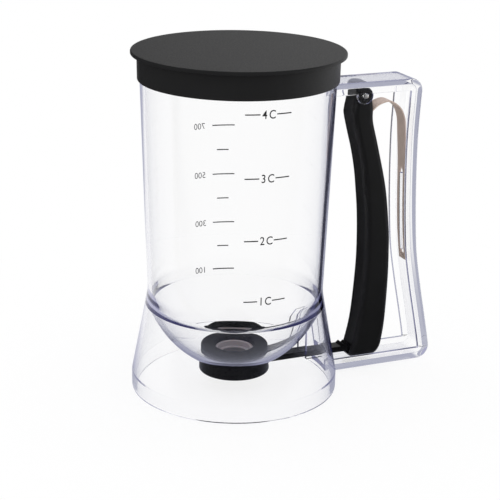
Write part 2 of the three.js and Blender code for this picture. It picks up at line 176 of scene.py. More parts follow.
class HandleSizes(bpy.types.PropertyGroup):
    """The channel-shaped handle loop and what is moulded with it."""

    top: length("Top", "Height of the loop's upper face", 164.5 * MM)
    bottom: length("Bottom", "Height of the loop's lower face", 2 * MM)
    width: length("Width", "Width across the two cheeks", PIN_HIGH.y - PIN_LOW.y)
    web: length("Web", "Thickness of the channel's web", 3 * MM)
    cheek: length("Cheek", "Thickness of each cheek", 2.4 * MM)
    depth: length("Depth", "Depth of the cheeks", 6.6 * MM)
    edge: length("Edge", "Rounding of the channel's outer edges", 0.8 * MM)
    inner_edge: length("Inner edge", "Rounding inside the channel", 0.5 * MM)
    reach: length("Reach", "Farthest point from the barrel's axis", JUG_HIGH.x - AXIS_X)
    waist: length("Waist", "Reach of the bar at its narrowest", 102.11 * MM)
    shoulder: length("Shoulder", "Reach of the upper corner", 103.21 * MM)
    shoulder_radius: length("Shoulder radius", "Rounding of the upper corner", 6.9 * MM)
    heel_radius: length("Heel radius", "Rounding of the lower corner", 7 * MM)
    lug_reach: length("Lug reach", "Distance of the lugs from the axis", PIN_REACH)
    lug_height: length("Lug height", "Height of the lugs' centre", PIN_HEIGHT)
    lug_radius: length("Lug radius", "Radius of the lugs", 4.6 * MM)
    pin_clearance: length("Pin clearance", "Radial clearance of the pin's holes", 0.1 * MM)
    rib_reach: length("Rib reach", "Distance from the axis to the guide ribs", 41.5 * MM)
    rib_top: length("Rib top", "Height of the guide ribs' upper edge", 33 * MM)
    rib: length("Rib", "Thickness of the guide ribs", 2 * MM)
    rib_gap: length("Rib gap", "Gap between the arm and each rib", 0.5 * MM)
    window_drop: length("Window drop", "Room below the arm in the skirt's window", 0.6 * MM)
    window_rise: length("Window rise", "Room above the arm in the skirt's window", 3 * MM)
    ridge_gap: length("Ridge gap", "Gap between the ridge and the spring's slot", 0.5 * MM)
    ridge_proud: length("Ridge proud", "Height of the ridge above the spring", 0.5 * MM)
    ridge_start: length("Ridge start", "Room below the ridge in the spring's slot", 0.6 * MM)
    ridge_edge: length("Ridge edge", "Rounding of the ridge's free edges", 0.3 * MM)


class LidSizes(bpy.types.PropertyGroup):
    """The press-on lid."""

    radius: length("Radius", "Outer radius of the flange", (LID_HIGH.x - LID_LOW.x) / 2)
    top: length("Top", "Height of the lid's top", LID_HIGH.z)
    bottom: length("Bottom", "Height of the skirt's lower edge", LID_LOW.z)
    plate: length("Plate", "Thickness of the top", 1.9 * MM)
    wall: length("Wall", "Thickness of the skirt", 1.35 * MM)
    gap: length("Gap", "Gap round the barrel's rim", 0.3 * MM)
    draft: length("Draft", "How much the skirt narrows to its lower edge", 0.25 * MM)
    edge: length("Edge", "Rounding of the flange's upper edge", 0.7 * MM)
    lower_edge: length("Lower edge", "Rounding below flange and skirt", 0.4 * MM)
    fillet: length("Fillet", "Rounding between flange and skirt", 0.6 * MM)


class TriggerSizes(bpy.types.PropertyGroup):
    """The trigger lever."""

    pivot_reach: length("Pivot reach", "Distance of the pin from the axis", PIN_REACH)
    pivot_height: length("Pivot height", "Height of the pin", PIN_HEIGHT)
    pin_radius: length("Pin radius", "Radius of the pin", (PIN_HIGH.z - PIN_LOW.z) / 2)
    pin_edge: length("Pin edge", "Rounding of the pin's ends", 0.35 * MM)
    bore_clearance: length("Bore clearance", "Radial clearance of the lever's bore", 0.1 * MM)
    width: length("Width", "Width of the lever", TRIGGER_HIGH.y - TRIGGER_LOW.y)
    reach: length("Reach", "How far the lever's back lies beyond the pin", 21.3 * MM)
    top: length("Top", "Height of the head", TRIGGER_HIGH.z + 1.1 * MM)
    foot: length("Foot", "Mean height of the toe's underside", 6 * MM)
    toe_slope: length("Toe slope", "Fall of the toe's underside from its middle", 0.5 * MM)
    edge: length("Edge", "Rounding of the long edges", 3.4 * MM)
    head_front: length("Head front", "Rounding of the head's front", 1.2 * MM)
    head_back: length("Head back", "Rounding of the head's back", 5 * MM)
    toe_front: length("Toe front", "Rounding of the toe's front", 2.4 * MM)
    toe_back: length("Toe back", "Rounding of the toe's back", 8 * MM)
    pocket_front: length("Pocket front", "Front of the pocket for the slide's hook", 72.4 * MM)
    pocket_back: length("Pocket back", "Back of that pocket", 83.05 * MM)
    pocket_low: length("Pocket low", "Floor of that pocket", 7.8 * MM)
    pocket_high: length("Pocket high", "Roof of that pocket", 17.6 * MM)
    pocket_side: length("Pocket side", "Gap beside the arm in that pocket", 2.4 * MM)
    slot_gap: length("Slot gap", "Gap beside and above the arm in its slot", 0.4 * MM)
    slot_drop: length("Slot drop", "Room below the arm in its slot", 1.7 * MM)
    slot_reach: length("Slot reach", "How far the slot is cut in front of the pocket", 8 * MM)
    levels: count("Levels", "Steps down the lever", 150)


class SpringSizes(bpy.types.PropertyGroup):
    """The bent strip."""

    thickness: length("Thickness", "Thickness of the strip", 0.8 * MM)
    width: length("Width", "Width of the strip", SPRING_HIGH.y - SPRING_LOW.y)
    gap: length("Gap", "Gap to the handle's web", 0.3 * MM)
    clearance: length("Clearance", "Gap on each side of the leg in the trigger", 0.6 * MM)
    side_clearance: length("Side clearance", "Gap beside the leg in the trigger", 0.3 * MM)
    arch: length("Arch", "Height of the arch's middle line", 151.7 * MM)
    landing: length("Landing", "Height at which the leg meets the web", 108 * MM)
    end: length("End", "Height of the leg's lower end", 59.5 * MM)
    inner: length("Inner", "Reach of the inner leg", 72.386 * MM)
    slot: length("Slot", "Width of the slot", 3.4 * MM)
    slot_low: length("Slot low", "Height of the slot's lower end", 63 * MM)
    slot_high: length("Slot high", "Height of the slot's pointed end", 114 * MM)
    edge: length("Edge", "Rounding of the strip's edges", 0.2 * MM)


class ValveSizes(bpy.types.PropertyGroup):
    """Cup, slide, ring and seal below the bowl."""

    cup_radius: length("Cup radius", "Outer radius of the cup", (CUP_HIGH.x - CUP_LOW.x) / 2)
    cup_bottom: length("Cup bottom", "Height of the cup's underside", CUP_LOW.z)
    cup_top: length("Cup top", "Height of the cup's upper edge", CUP_HIGH.z)
    cup_floor: length("Cup floor", "Thickness of the cup's floor", 1.3 * MM)
    cup_edge: length("Cup edge", "Rounding of the cup's lower edge", 0.8 * MM)
    outlet_radius: length("Outlet radius", "Radius of the outlet", 8.2 * MM)
    shutter_radius: length("Shutter radius", "Radius of the slide's round end", SLIDE_HIGH.y)
    shutter: length("Shutter", "Thickness of the shutter", 2.3 * MM)
    shutter_start: length(
        "Shutter start", "Distance over which the shutter keeps its width", 12 * MM
    )
    slide_bottom: length("Slide bottom", "Height of the slide's underside", SLIDE_LOW.z)
    slide_edge: length("Slide edge", "Rounding of the slide's edges", 0.25 * MM)
    gap: length("Gap", "Gap round the slide and its neighbours", 0.3 * MM)
    arm_start: length("Arm start", "Distance from the axis at which the arm begins", 20 * MM)
    arm_width: length("Arm width", "Width of the arm", 7 * MM)
    arm: length("Arm", "Thickness of the arm", 3.2 * MM)
    tooth_reach: length("Tooth reach", "Distance of the tooth from the axis", 64.9 * MM)
    tooth: length("Tooth", "Height of the tooth", 1.3 * MM)
    tooth_half: length("Tooth half", "Half the length of the tooth", 1.6 * MM)
    step_reach: length("Step reach", "Distance of the step from the axis", 67.8 * MM)
    step: length("Step", "Height of the step", 1.1 * MM)
    step_length: length("Step length", "Length of the step's ramp", 1.2 * MM)
    hook: length("Hook", "Length of the hook", 2.5 * MM)
    hook_gap: length("Hook gap", "Gap between the hook and the trigger's front wall", 0.5 * MM)
    ring_radius: length(
        "Ring radius", "Outer radius of the ring in the bowl", (RING_HIGH.x - RING_LOW.x) / 2
    )
    ring_top: length("Ring top", "Height of the ring's upper face", RING_HIGH.z)
    ring_bottom: length("Ring bottom", "Height of the ring's sleeve", RING_LOW.z)
    ring_flange: length("Ring flange", "Thickness of the ring's flange", 3.4 * MM)
    ring_edge: length("Ring edge", "Rounding of the flange", 1.1 * MM)
    ring_bore: length("Ring bore", "Radius of the ring's bore", 10.8 * MM)
    lip: length("Lip", "Radius of the seal's opening", 7.2 * MM)
    lip_top: length("Lip top", "Height of the lip inside the seal", 16.3 * MM)
    seal_wall: length("Seal wall", "Thickness of the seal's sleeve", 1.5 * MM)
    seal_flange: length("Seal flange", "Thickness of the seal's lip", 0.9 * MM)
    fine_edge: length("Fine edge", "Rounding of ring and seal in their corners", 0.2 * MM)
    lip_edge: length("Lip edge", "Rounding of cup, sleeve and lip at their ends", 0.3 * MM)
    rim_edge: length("Rim edge", "Rounding of outlet, ring and seal at their rims", 0.4 * MM)
    sides: count("Sides", "Steps around the valve", 128)


class MarkSizes(bpy.types.PropertyGroup):
    """The two printed measuring scales."""

    ink: length("Ink", "Thickness of the print", 0.04 * MM)
    clear: length("Clear", "Gap below the print", 0.02 * MM)
    line: length("Line", "Height of a line", 0.62 * MM)
    cup_glyph: length("Cup glyph", "Height of the cups' figures", 4.3 * MM)
    small_glyph: length("Small glyph", "Height of the millilitres' figures", 3.4 * MM)
    first_cup: length("First cup", "Height of the first cup's mark", 63.9 * MM)
    cup_rise: length("Cup rise", "Rise from one cup to the next", 32.7 * MM)
    cups: count("Cups", "Number of the cups' marks", 4)
    first_small: length("First small", "Height of the 100 millilitres mark", 50 * MM)
    small_rise: length("Small rise", "Rise for 100 millilitres", 13.82 * MM)
    hundreds: count("Hundreds", "Number of the millilitres' marks", 7)
    cup_dash_from: turn("Cup dash from", "Start of the line before the figure", -18.0)
    cup_dash_to: turn("Cup dash to", "End of the line before the figure", -9.4)
    cup_figure: turn("Cup figure", "Place of the figure", -6.9)
    cup_letter: turn("Cup letter", "Place of the letter", -2.4)
    cup_line_from: turn("Cup line from", "Start of the line after the letter", 0.3)
    cup_line_to: turn("Cup line to", "End of the line after the letter", 9.2)
    cup_lean: turn("Cup lean", "How far each cup's mark lies to the left of the one below", 0.42)
    cup_width: amount("Cup width", "Width of the cups' figures, as a share of the font's own", 0.85)
    cup_weight: amount(
        "Cup weight", "How far the cups' strokes are thickened, as a share of height", 0.01
    )
    small_width: amount("Small width", "Width of their figures, as a share of the font's own", 0.98)
    small_weight: amount("Small weight", "How far the millilitres' strokes are thickened", -0.005)
    long_from: turn("Long from", "Start of a long line", 158)
    long_to: turn("Long to", "End of a long line", 173)
    short_from: turn("Short from", "Start of a short line", 162)
    short_to: turn("Short to", "End of a short line", 170)
    small_figure: turn("Small figure", "Middle of the millilitres' figures", 182.0)
    small_lean: turn("Small lean", "How far each line lies to the left of the one below", 0.14)


class Finishes(bpy.types.PropertyGroup):
    """The colours of the finishes."""

    clear: tint("Clear plastic", "Tint of the clear moulding's surface", "#ffffff")
    clear_gloss: tint("Clear gloss", "Tint of what the clear moulding mirrors", "#8c8c8e")
    clear_depth: tint("Clear depth", "Tint that builds up through the clear moulding", "#6a6ca0")
    clear_unbent: tint(
        "Clear unbent", "Tint of light that passes the clear moulding unbent", "#f6f6fa"
    )
    # Painted shade: a darker lavender for light that the clear walls have thrown back, which
    # darkens the collar band and the walls' edges
    clear_thrown: tint(
        "Clear thrown", "Tint of light that the clear walls have thrown back", "#aeaec8"
    )
    lid: tint("Lid", "Charcoal of the lid", "#1d1d1e")
    trigger: tint("Trigger", "Black of the lever", "#161617")
    valve: tint("Valve", "Black of cup and slide", "#0f0f10")
    ring: tint("Ring", "Black of the ring in the bowl", "#151617")
    seal: tint("Seal", "Grey of the seal", "#a59c9c")
    strip: tint("Strip", "Colour of the spring's steel", "#d4c0b2")
    pin: tint("Pin", "Colour of the pin's steel", "#c8c8c8")
    ink: tint("Ink", "Colour of the print", "#2b2b2e")
    floor: tint("Floor", "Colour of the floor", "#fafafa")
    floor_gloss: tint("Floor gloss", "Colour of the floor in reflections", "#5a5a5c")


class Studio(bpy.types.PropertyGroup):
    """Camera and light."""

    distance: length("Distance", "Distance of the camera from the barrel's axis", 790.41 * MM)
    height: length("Height", "Height of the camera", 339.04 * MM)
    bearing: turn(
        "Bearing", "Angle of the camera round the axis, from the front to the left", 23.152
    )
    yaw: turn("Yaw", "How far the camera looks past the axis", 0.549)
    pitch: turn("Pitch", "How far the camera looks down", 18.389)
    roll: turn("Roll", "How far the camera is tilted", 1.095)
    lens: FloatProperty(name="Lens", description="Focal length in millimetres", default=112.47)
    floor_radius: length("Floor radius", "Radius of the floor", 3)
    shadow_from: length("Shadow from", "Where the floor begins to fade to white", 80 * MM)
    shadow_to: length("Shadow to", "Where the floor is all white", 260 * MM)
    near_white: amount(
        "Near white", "Share of plain white that the floor shows near the object", 0.85
    )
    key_power: amount("Key power", "Power of the large lamp above, in watts", 1)
    gloss_turn: turn(
        "Gloss turn", "How far the bright lobe lies to the right of straight behind", 38
    )
    right_turn: turn(
        "Right turn", "How far the lavender quarter lies to the right of straight behind", 50
    )
    room: tint("Room", "The dim room that gloss sees beside the bright lobe", "#3a3a3c")
    # The same lavender is painted shade on the floor round the object's foot, as clear plastic
    # mirrors it
    beside: tint(
        "Beside", "What clear plastic throws back from behind and beside the object", "#b0b2c2"
    )
    front_from: length(
        "Front from", "Where the floor in front begins to look white to clear plastic", 60 * MM
    )
    front_to: length("Front to", "Where the floor in front is all white to clear plastic", 160 * MM)


GROUPS = {
    "dispenser_container": ContainerSizes,
    "dispenser_handle": HandleSizes,
    "dispenser_lid": LidSizes,
    "dispenser_trigger": TriggerSizes,
    "dispenser_spring": SpringSizes,
    "dispenser_valve": ValveSizes,
    "dispenser_marks": MarkSizes,
    "dispenser_finishes": Finishes,
    "dispenser_studio": Studio,
}

# Shares of the handle's flare from its waist to its heel, and of its height, from the top
HANDLE_BACK_SHARES = np.array(
    [(0.05, 0.09), (0, 0.2), (0.022, 0.345), (0.095, 0.483), (0.22, 0.606), (0.46, 0.723)]
    + [(0.72, 0.83), (0.93, 0.92)]
)

# Shares of the trigger's reach beyond its pin, and of its drop below the pin
GRIP_FRONT_SHARES = np.array(
    [(-0.17, -0.02), (-0.18, 0.013), (-0.245, 0.06), (-0.24, 0.085), (-0.127, 0.148), (0, 0.214)]
    + [(0.108, 0.288), (0.174, 0.358), (0.244, 0.455), (0.277, 0.576), (0.258, 0.689)]
    + [(0.155, 0.858), (-0.02, 0.972), (-0.065, 1)]
)
GRIP_BACK_SHARES = np.array(
    [(0.31, -0.02), (0.312, 0.021), (0.347, 0.06), (0.366, 0.105), (0.54, 0.197), (0.812, 0.354)]
    + [(0.958, 0.51), (0.99, 0.589), (1, 0.7), (0.953, 0.861), (0.859, 0.957), (0.8, 1)]
)

# Shares of the spring's span from its inner leg to its landing, and of its arch's height
ARCH_SHARES = np.array(
    [(0, 0.53), (0.01, 0.69), (0.065, 0.83), (0.185, 0.915), (0.33, 0.975), (0.52, 1)]
    + [(0.67, 0.965), (0.82, 0.885), (0.913, 0.75), (0.945, 0.545), (0.97, 0.355), (0.99, 0.165)]
)

# Shares of the outer leg's length at which its line is worked out, and the share of the span up
# to which the strip is its inner leg
LEG_SHARES = np.array([0, 0.34, 0.67, 1])
INNER_LEG_SHARE = 0.185

# Shares of the barrel's wall and of the foot's wall that the handle's two ends reach into
TOP_ROOT_SHARE = 0.8
HEEL_ROOT_SHARE = 0.7

# Radii of the small faces that close the middle of the lid, a lug and the pin
LID_HUB, LUG_HUB, PIN_HUB = 0.5 * MM, 0.2 * MM, 0.1 * MM

# Steps around a lug, the pin and its bores, and half round the slide's end and its channel
LUG_SIDES, PIN_SIDES, BORE_SIDES, SHUTTER_STEPS = 64, 40, 48, 48

# How far a cutting shape stands out of what it cuts
OVERSHOOT = 1 * MM

# The spring's slot is cut from inside its outer leg to outside it
SLOT_INSIDE, SLOT_OUTSIDE = 12 * MM, 9 * MM

# Points along the lever's rounding at its head or toe, and along a quarter of its section
END_POINTS, QUARTER_POINTS = 14, 9

# Largest share of half the lever's section that a corner's radius takes, and the height over
# which the toe's slope fades, as a multiple of the rounding at the toe's back
ROUNDEST_SHARE = 0.98
TOE_RUN = 4

# A figure's height as a share of the font's size, and the steps of its curves
FIGURE_SHARE, FIGURE_STEPS = 0.7, 6

# Points along a printed line
DASH_POINTS = 12

# Distances below which two points of an outline, or of a print, are one
SAME_CORNER, SAME_POINT = 1e-7, 1e-6

# Noise spends nearly all its area between these two values
NOISE_LOW, NOISE_HIGH = 0.3, 0.7

# Light counts as thrown back often above this glossy depth, or above this ray depth
MOST_THROWN = 2.5
MOST_SURFACES = 3.5

# Spans over which a level part of a direction, or of a place on the floor in metres, takes a
# share from 0 to 1: the bright lobe, the lavender quarter and the front, and on the floor its
# gloss, its quarter and its distance from the object
LOBE_SPAN, QUARTER_SPAN, FRONT_SPAN = (0.45, 0.95), (0.3, 0.7), (0.5, 0.9)
FLOOR_GLOSS_SPAN, FLOOR_QUARTER_SPAN, OPEN_FLOOR_SPAN = (0.05, 0.35), (0.02, 0.12), (0.06, 0.16)

# How a share eases in and out of its ends, and plain white
SMOOTH = {"interpolation_type": "SMOOTHSTEP"}
WHITE = (1, 1, 1, 1)

# Radii of the floor's inner rings, the steps around it, and its drop below the object's feet
FLOOR_RINGS, FLOOR_SIDES, FLOOR_DROP = (0.01, 0.3), 96, 0.3 * MM

# The lamp's place, what it faces and its width
KEY_PLACE, KEY_TARGET, KEY_SIZE = (-0.1, 0.1, 1.0), (0, 0, 0.1), 0.8

# The camera's sensor in millimetres, and the nearest and farthest it sees
SENSOR_WIDTH = 36
CLIP_START, CLIP_END = 0.01, 20


# Curves and outlines


def fillet(corners, radii, steps=6):
    """Closed outline through corners, with an arc in place of each corner whose radius isn't 0.
    Half the corner's angle being h, the arc's centre lies radius / sin h along the corner's
    bisector, and its ends lie radius / tan h along the two sides."""
    corner = np.array(corners, float)
    radius = np.broadcast_to(np.array(radii, float), len(corner))[:, None]
    back = np.roll(corner, 1, axis=0) - corner
    ahead = np.roll(corner, -1, axis=0) - corner
    back /= np.linalg.norm(back, axis=1, keepdims=True)
    ahead /= np.linalg.norm(ahead, axis=1, keepdims=True)
    half = np.arccos(np.clip((back * ahead).sum(1, keepdims=True), -1, 1)) / 2
    half = np.where(radius > 0, half, np.pi / 4)
    bisector = back + ahead
    bisector /= np.maximum(np.linalg.norm(bisector, axis=1, keepdims=True), 1e-9)
    centre = corner + bisector * radius / np.sin(half)
    first = corner + back * radius / np.tan(half) - centre
    last = corner + ahead * radius / np.tan(half) - centre
    sweep = (np.pi - 2 * half)[:, :, None]
    share = np.linspace(0, 1, steps + 1)[None, :, None]
    weight_first = np.sin((1 - share) * sweep) / np.sin(sweep)
    weight_last = np.sin(share * sweep) / np.sin(sweep)
    arc = centre[:, None] + weight_first * first[:, None] + weight_last * last[:, None]
    points = np.where(radius[:, :, None] > 0, arc, corner[:, None]).reshape(-1, 2)
    apart = np.linalg.norm(points - np.roll(points, 1, axis=0), axis=1) > SAME_CORNER
    return points[apart]


def rounded(corners, steps=6):
    """Closed outline through corners (x, y, radius of the arc in that corner's place)."""
    corners = np.array(corners, float)
    return fillet(corners[:, :2], corners[:, 2], steps)


def disc(hub, radius, low, high, edge):
    """Closed profile of a disc with two rounded edges, from its hub outwards."""
    return rounded([(hub, low, 0), (radius, low, edge), (radius, high, edge), (hub, high, 0)])


def divided(line, step, closed=True):
    """The same line with more points, evenly spaced between each two of its own, so that
    none lies further than a step from the next."""
    starts = line if closed else line[:-1]
    way = np.roll(line, -1, axis=0)[: len(starts)] - starts
    pieces = np.ceil(np.linalg.norm(way, axis=1) / step).astype(int)
    first = np.repeat(np.cumsum(pieces) - pieces, pieces)
    share = (np.arange(pieces.sum()) - first) / np.repeat(pieces, pieces)
    points = np.repeat(starts, pieces, axis=0) + share[:, None] * np.repeat(way, pieces, axis=0)
    return points if closed else np.vstack([points, line[-1:]])


def arc(centre, radius, start, end, steps=24):
    """Points centre + radius * (cos a, sin a) for angles a from start to end, in degrees."""
    angle = np.radians(np.linspace(start, end, steps + 1))
    return np.array(centre) + radius * np.stack([np.cos(angle), np.sin(angle)], axis=1)


def spline(points, steps=8):
    """Smooth line through points: between two of them the cubic whose slope at each is half the
    step from the point before it to the point after it."""
    known = np.array(points, float)
    before = np.vstack([known[:1], known[:-2]])
    after = np.vstack([known[2:], known[-1:]])
    start, end = known[:-1, None], known[1:, None]
    slope_start = (known[1:] - before)[:, None] / 2
    slope_end = (after - known[:-1])[:, None] / 2
    t = np.linspace(0, 1, steps, endpoint=False)[None, :, None]
    cubic = (2 * start - 2 * end + slope_start + slope_end) * t**3
    cubic = cubic + (3 * end - 3 * start - 2 * slope_start - slope_end) * t**2
    cubic = cubic + slope_start * t + start
    return np.vstack([cubic.reshape(-1, known.shape[1]), known[-1:]])


def inward(line):
    """Unit normals to the right of a line of points, from the mean direction at each point."""
    run = np.linalg.norm(np.diff(line, axis=0), axis=1)
    along = np.gradient(line, np.concatenate([[0], np.cumsum(run)]), axis=0)
    along /= np.linalg.norm(along, axis=1, keepdims=True)
    return np.stack([along[:, 1], -along[:, 0]], axis=1)


# Surfaces


def turned(profile, sides):
    """Surface of revolution: (r cos a, r sin a, z) for each profile point (r, z) and angle a."""
    angle = np.linspace(0, 2 * np.pi, sides, endpoint=False)
    radius, height = np.array(profile)[:, 0, None], np.array(profile)[:, 1, None]
    return np.stack([radius * np.cos(angle), radius * np.sin(angle), height + 0 * angle], axis=-1)


def swept(path, section):
    """A section carried along a path in the XZ plane: path point + normal * depth, at width."""
    normal = inward(path)
    depth, width = section[:, 0], section[:, 1]
    flat = path[:, None] + normal[:, None] * depth[None, :, None]
    return np.stack([flat[..., 0], np.broadcast_to(width, flat.shape[:2]), flat[..., 1]], axis=-1)


def carried(outline, low, high, axis):
    """An outline carried straight along an axis, from low to high. The outline's two numbers are
    the two other axes, in X, Y, Z order."""
    flat = np.array(outline, float)
    return np.array([np.insert(flat, axis, place, axis=1) for place in (low, high)])


def box_outline(low, high):
    """The four corners of a rectangle from its lowest and its highest one."""
    return [(low[0], low[1]), (high[0], low[1]), (high[0], high[1]), (low[0], high[1])]


def across(grid, reach, height):
    """Turns a grid's vertical axis to lie along Y, through a reach and a height."""
    return np.stack([grid[..., 0] + reach, grid[..., 2], grid[..., 1] + height], axis=-1)


# Meshes and objects


def face_outwards(mesh, apart=0):
    """Makes points that lie no further apart than a distance one point, and turns the faces of
    a closed mesh to point out of it."""
    work = bmesh.new()
    work.from_mesh(mesh)
    if apart:
        bmesh.ops.remove_doubles(work, verts=work.verts, dist=apart)
    bmesh.ops.recalc_face_normals(work, faces=work.faces)
    work.to_mesh(mesh)
    work.free()


def quads_between(lower, upper):
    """Faces that join rows of point numbers to the rows beyond them. Rows close on themselves."""
    ring = [lower, np.roll(lower, -1, axis=1), np.roll(upper, -1, axis=1), upper]
    return np.stack(ring, axis=-1).reshape(-1, 4).tolist()


def make_mesh(name, grid, closed=False):
    """A closed mesh whose point (i, j) joins (i + 1, j) and (i, j + 1). Rows close on themselves.
    The first and last rows get one face each, or join where closed is true."""
    rows, columns = grid.shape[:2]
    index = np.arange(rows * columns).reshape(rows, columns)
    if closed:
        faces = quads_between(index, np.roll(index, -1, axis=0))
    else:
        faces = quads_between(index[:-1], index[1:]) + [index[0].tolist(), index[-1].tolist()]
    place = grid.reshape(-1, 3) + np.array([AXIS_X, 0, 0])
    mesh = bpy.data.meshes.new(name)
    mesh.from_pydata(place.tolist(), [], faces)
    face_outwards(mesh)
    return mesh


def link_object(name, data):
    """A new object in the scene that shows its data."""
    made = bpy.data.objects.new(name, data)
    bpy.context.scene.collection.objects.link(made)
    return made


def make_object(name, grid, closed=False):
    """An object whose mesh is made from a grid of points."""
    return link_object(name, make_mesh(name, grid, closed))


def finished_mesh(made):
    """A new mesh of what an object shows, with its modifiers or its text applied."""
    bpy.context.view_layer.update()
    graph = bpy.context.evaluated_depsgraph_get()
    return bpy.data.meshes.new_from_object(made.evaluated_get(graph))


def settle(made):
    """Applies an object's modifiers, so that its mesh holds the finished shape."""
    result = finished_mesh(made)
    made.modifiers.clear()
    result.name = made.name
    made.data = result


def combine(made, tools, operation):
    """Joins tools to an object, or cuts them out of it, and deletes them."""
    for tool in tools:
        change = made.modifiers.new(tool.name, "BOOLEAN")
        change.operation = operation
        change.solver = "MANIFOLD"
        change.object = tool
    settle(made)
    for tool in tools:
        bpy.data.objects.remove(tool)


def soften(made, width, segments=2, sharp=40):
    """Rounds an object's edges that turn by more than sharp degrees, and applies the rounding."""
    bevel = made.modifiers.new("edges", "BEVEL")
    bevel.width = width
    bevel.segments = segments
    bevel.limit_method = "ANGLE"
    bevel.angle_limit = np.radians(sharp)
    settle(made)


def dress(made, material, body, replaced=(), sharp=35):
    """Gives a finished object its shading, its finish and its place in the frame. An edge that
    turns by more than sharp degrees stays sharp."""
    made.data.materials.clear()
    made.data.materials.append(material)
    made.data.shade_smooth()
    made.data.set_sharp_from_angle(angle=np.radians(sharp))
    shading = made.modifiers.new("shading", "WEIGHTED_NORMAL")
    shading.mode = "FACE_AREA"
    shading.keep_sharp = True
    settle(made)
    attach(made, body)
    if replaced:
        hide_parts(*replaced)


# Finishes


def add(tree, kind, settings=None, inputs=(), **named):
    """Adds a node, sets its settings, and gives each input a value or a link: those of inputs in
    the node's own order, and the others by name, with underscores for spaces. A node stands for
    its first output."""
    node = tree.nodes.new(kind)
    for name, value in (settings or {}).items():
        setattr(node, name, value)
    given = list(zip(node.inputs, inputs))
    given += [(node.inputs[name.replace("_", " ")], value) for name, value in named.items()]
    for socket, value in given:
        if isinstance(value, bpy.types.Node):
            value = value.outputs[0]
        if isinstance(value, bpy.types.NodeSocket):
            tree.links.new(value, socket)
        else:
            socket.default_value = value
    return node


def new_finish(name):
    """An empty material and its node tree."""
    material = bpy.data.materials.new(name)
    material.use_nodes = True
    material.node_tree.nodes.clear()
    return material, material.node_tree


def grain(tree, size, detail=3, scale=(1, 1, 1)):
    """Noise on the piece's own coordinates, whose lumps are about as large as size, in metres,
    and longer along an axis whose scale is below 1."""
    place = add(tree, "ShaderNodeTexCoord").outputs["Object"]
    place = add(tree, "ShaderNodeMapping", Vector=place, Scale=scale)
    return add(tree, "ShaderNodeTexNoise", Vector=place, Scale=1 / size, Detail=detail)


def between(tree, noise, low, high):
    """A number from low to high, as noise goes from its usual low to its usual high."""
    inputs = {"From_Min": NOISE_LOW, "From_Max": NOISE_HIGH, "To_Min": low, "To_Max": high}
    return add(tree, "ShaderNodeMapRange", {"clamp": True}, Value=noise, **inputs)


def mottled(tree, noise, colour, spread):
    """A colour that drifts lighter and darker with noise, by a share of spread."""
    value = between(tree, noise, 1 - spread, 1 + spread)
    return add(tree, "ShaderNodeHueSaturation", Color=colour, Value=value)


def clear_moulding(colours):
    """Styrene acrylonitrile, injection moulded in a polished tool. The eye sees through it with
    sharp highlights, a faint lavender depth where it looks along a wall, and slow waves where the
    melt flowed. Lamps and matt surfaces see through it unbent, and so does light that the walls
    have thrown back a few times, which would otherwise be lost in them. That thrown-back light
    passes with a darker lavender tint, which is painted shade for the collar band and the walls'
    edges."""
    material, tree = new_finish("styrene_acrylonitrile_moulded_clear")
    wave_length, wave_height = 34 * MM, 0.12 * MM
    waves = grain(tree, wave_length, detail=1)
    surface = add(
        tree,
        "ShaderNodeBsdfPrincipled",
        Base_Color=colours.clear,
        Roughness=0.0,
        IOR=1.53,
        Specular_Tint=colours.clear_gloss,
        Transmission_Weight=1.0,
        Normal=add(tree, "ShaderNodeBump", Height=waves, Distance=wave_height, Strength=1.0),
    )
    path = add(tree, "ShaderNodeLightPath").outputs
    above, either = {"operation": "GREATER_THAN"}, {"operation": "MAXIMUM"}
    thrown = add(tree, "ShaderNodeMath", above, (path["Glossy Depth"], MOST_THROWN))
    straight = (path["Is Shadow Ray"], path["Is Diffuse Ray"])
    straight = add(tree, "ShaderNodeMath", either, straight)
    straight = add(tree, "ShaderNodeMath", either, (straight, thrown))
    unbent = add(tree, "ShaderNodeBsdfTransparent", Color=colours.clear_unbent)
    # Painted shade: light thrown back more than a few times passes with the darker lavender tint
    tinted = add(tree, "ShaderNodeBsdfTransparent", Color=colours.clear_thrown)
    unbent = add(tree, "ShaderNodeMixShader", inputs=(thrown, unbent, tinted))
    shown = add(tree, "ShaderNodeMixShader", inputs=(straight, surface, unbent))
    depth = add(tree, "ShaderNodeVolumeAbsorption", Color=colours.clear_depth, Density=3.0)
    add(tree, "ShaderNodeOutputMaterial", Surface=shown, Volume=depth)
    return material


def moulded(name, colour, roughness, lump, depth, level):
    """An opaque plastic from a spark-textured tool: the eye sees a soft even sheen that a fine
    grain breaks up, and a colour that drifts a little. Lump and depth are the grain's size and
    height, and level is how strongly the skin mirrors."""
    material, tree = new_finish(name)
    drift_size, unevenness = 22 * MM, 0.05
    fine = grain(tree, lump)
    drift = grain(tree, drift_size, detail=2)
    surface = add(
        tree,
        "ShaderNodeBsdfPrincipled",
        Base_Color=mottled(tree, drift, colour, spread=0.06),
        Roughness=between(tree, fine, roughness - unevenness, roughness + unevenness),
        IOR=1.5,
        Specular_IOR_Level=level,
        Normal=add(tree, "ShaderNodeBump", Height=fine, Distance=depth, Strength=1.0),
    )
    add(tree, "ShaderNodeOutputMaterial", Surface=surface)
    return material


def lid_finish(colours):
    """ABS, injection moulded, with a fine spark texture. Its grain of about 0.4 mm is drawn
    twice as coarse as the real one so that it shows."""
    look = {"roughness": 0.5, "lump": 0.8 * MM, "depth": 0.03 * MM, "level": 0.25}
    return moulded("abs_moulded_spark_textured", colours.lid, **look)


def trigger_finish(colours):
    """ABS, injection moulded in a lightly blasted tool: satin, with soft lines of light along
    its rounded edges."""
    look = {"roughness": 0.42, "lump": 1.2 * MM, "depth": 0.015 * MM, "level": 0.2}
    return moulded("abs_moulded_satin", colours.trigger, **look)


def valve_finish(colours):
    """Polypropylene, injection moulded: smooth, a little waxy, and glossier than the lid."""
    look = {"roughness": 0.3, "lump": 1.5 * MM, "depth": 0.01 * MM, "level": 0.12}
    return moulded("polypropylene_moulded_black", colours.valve, **look)


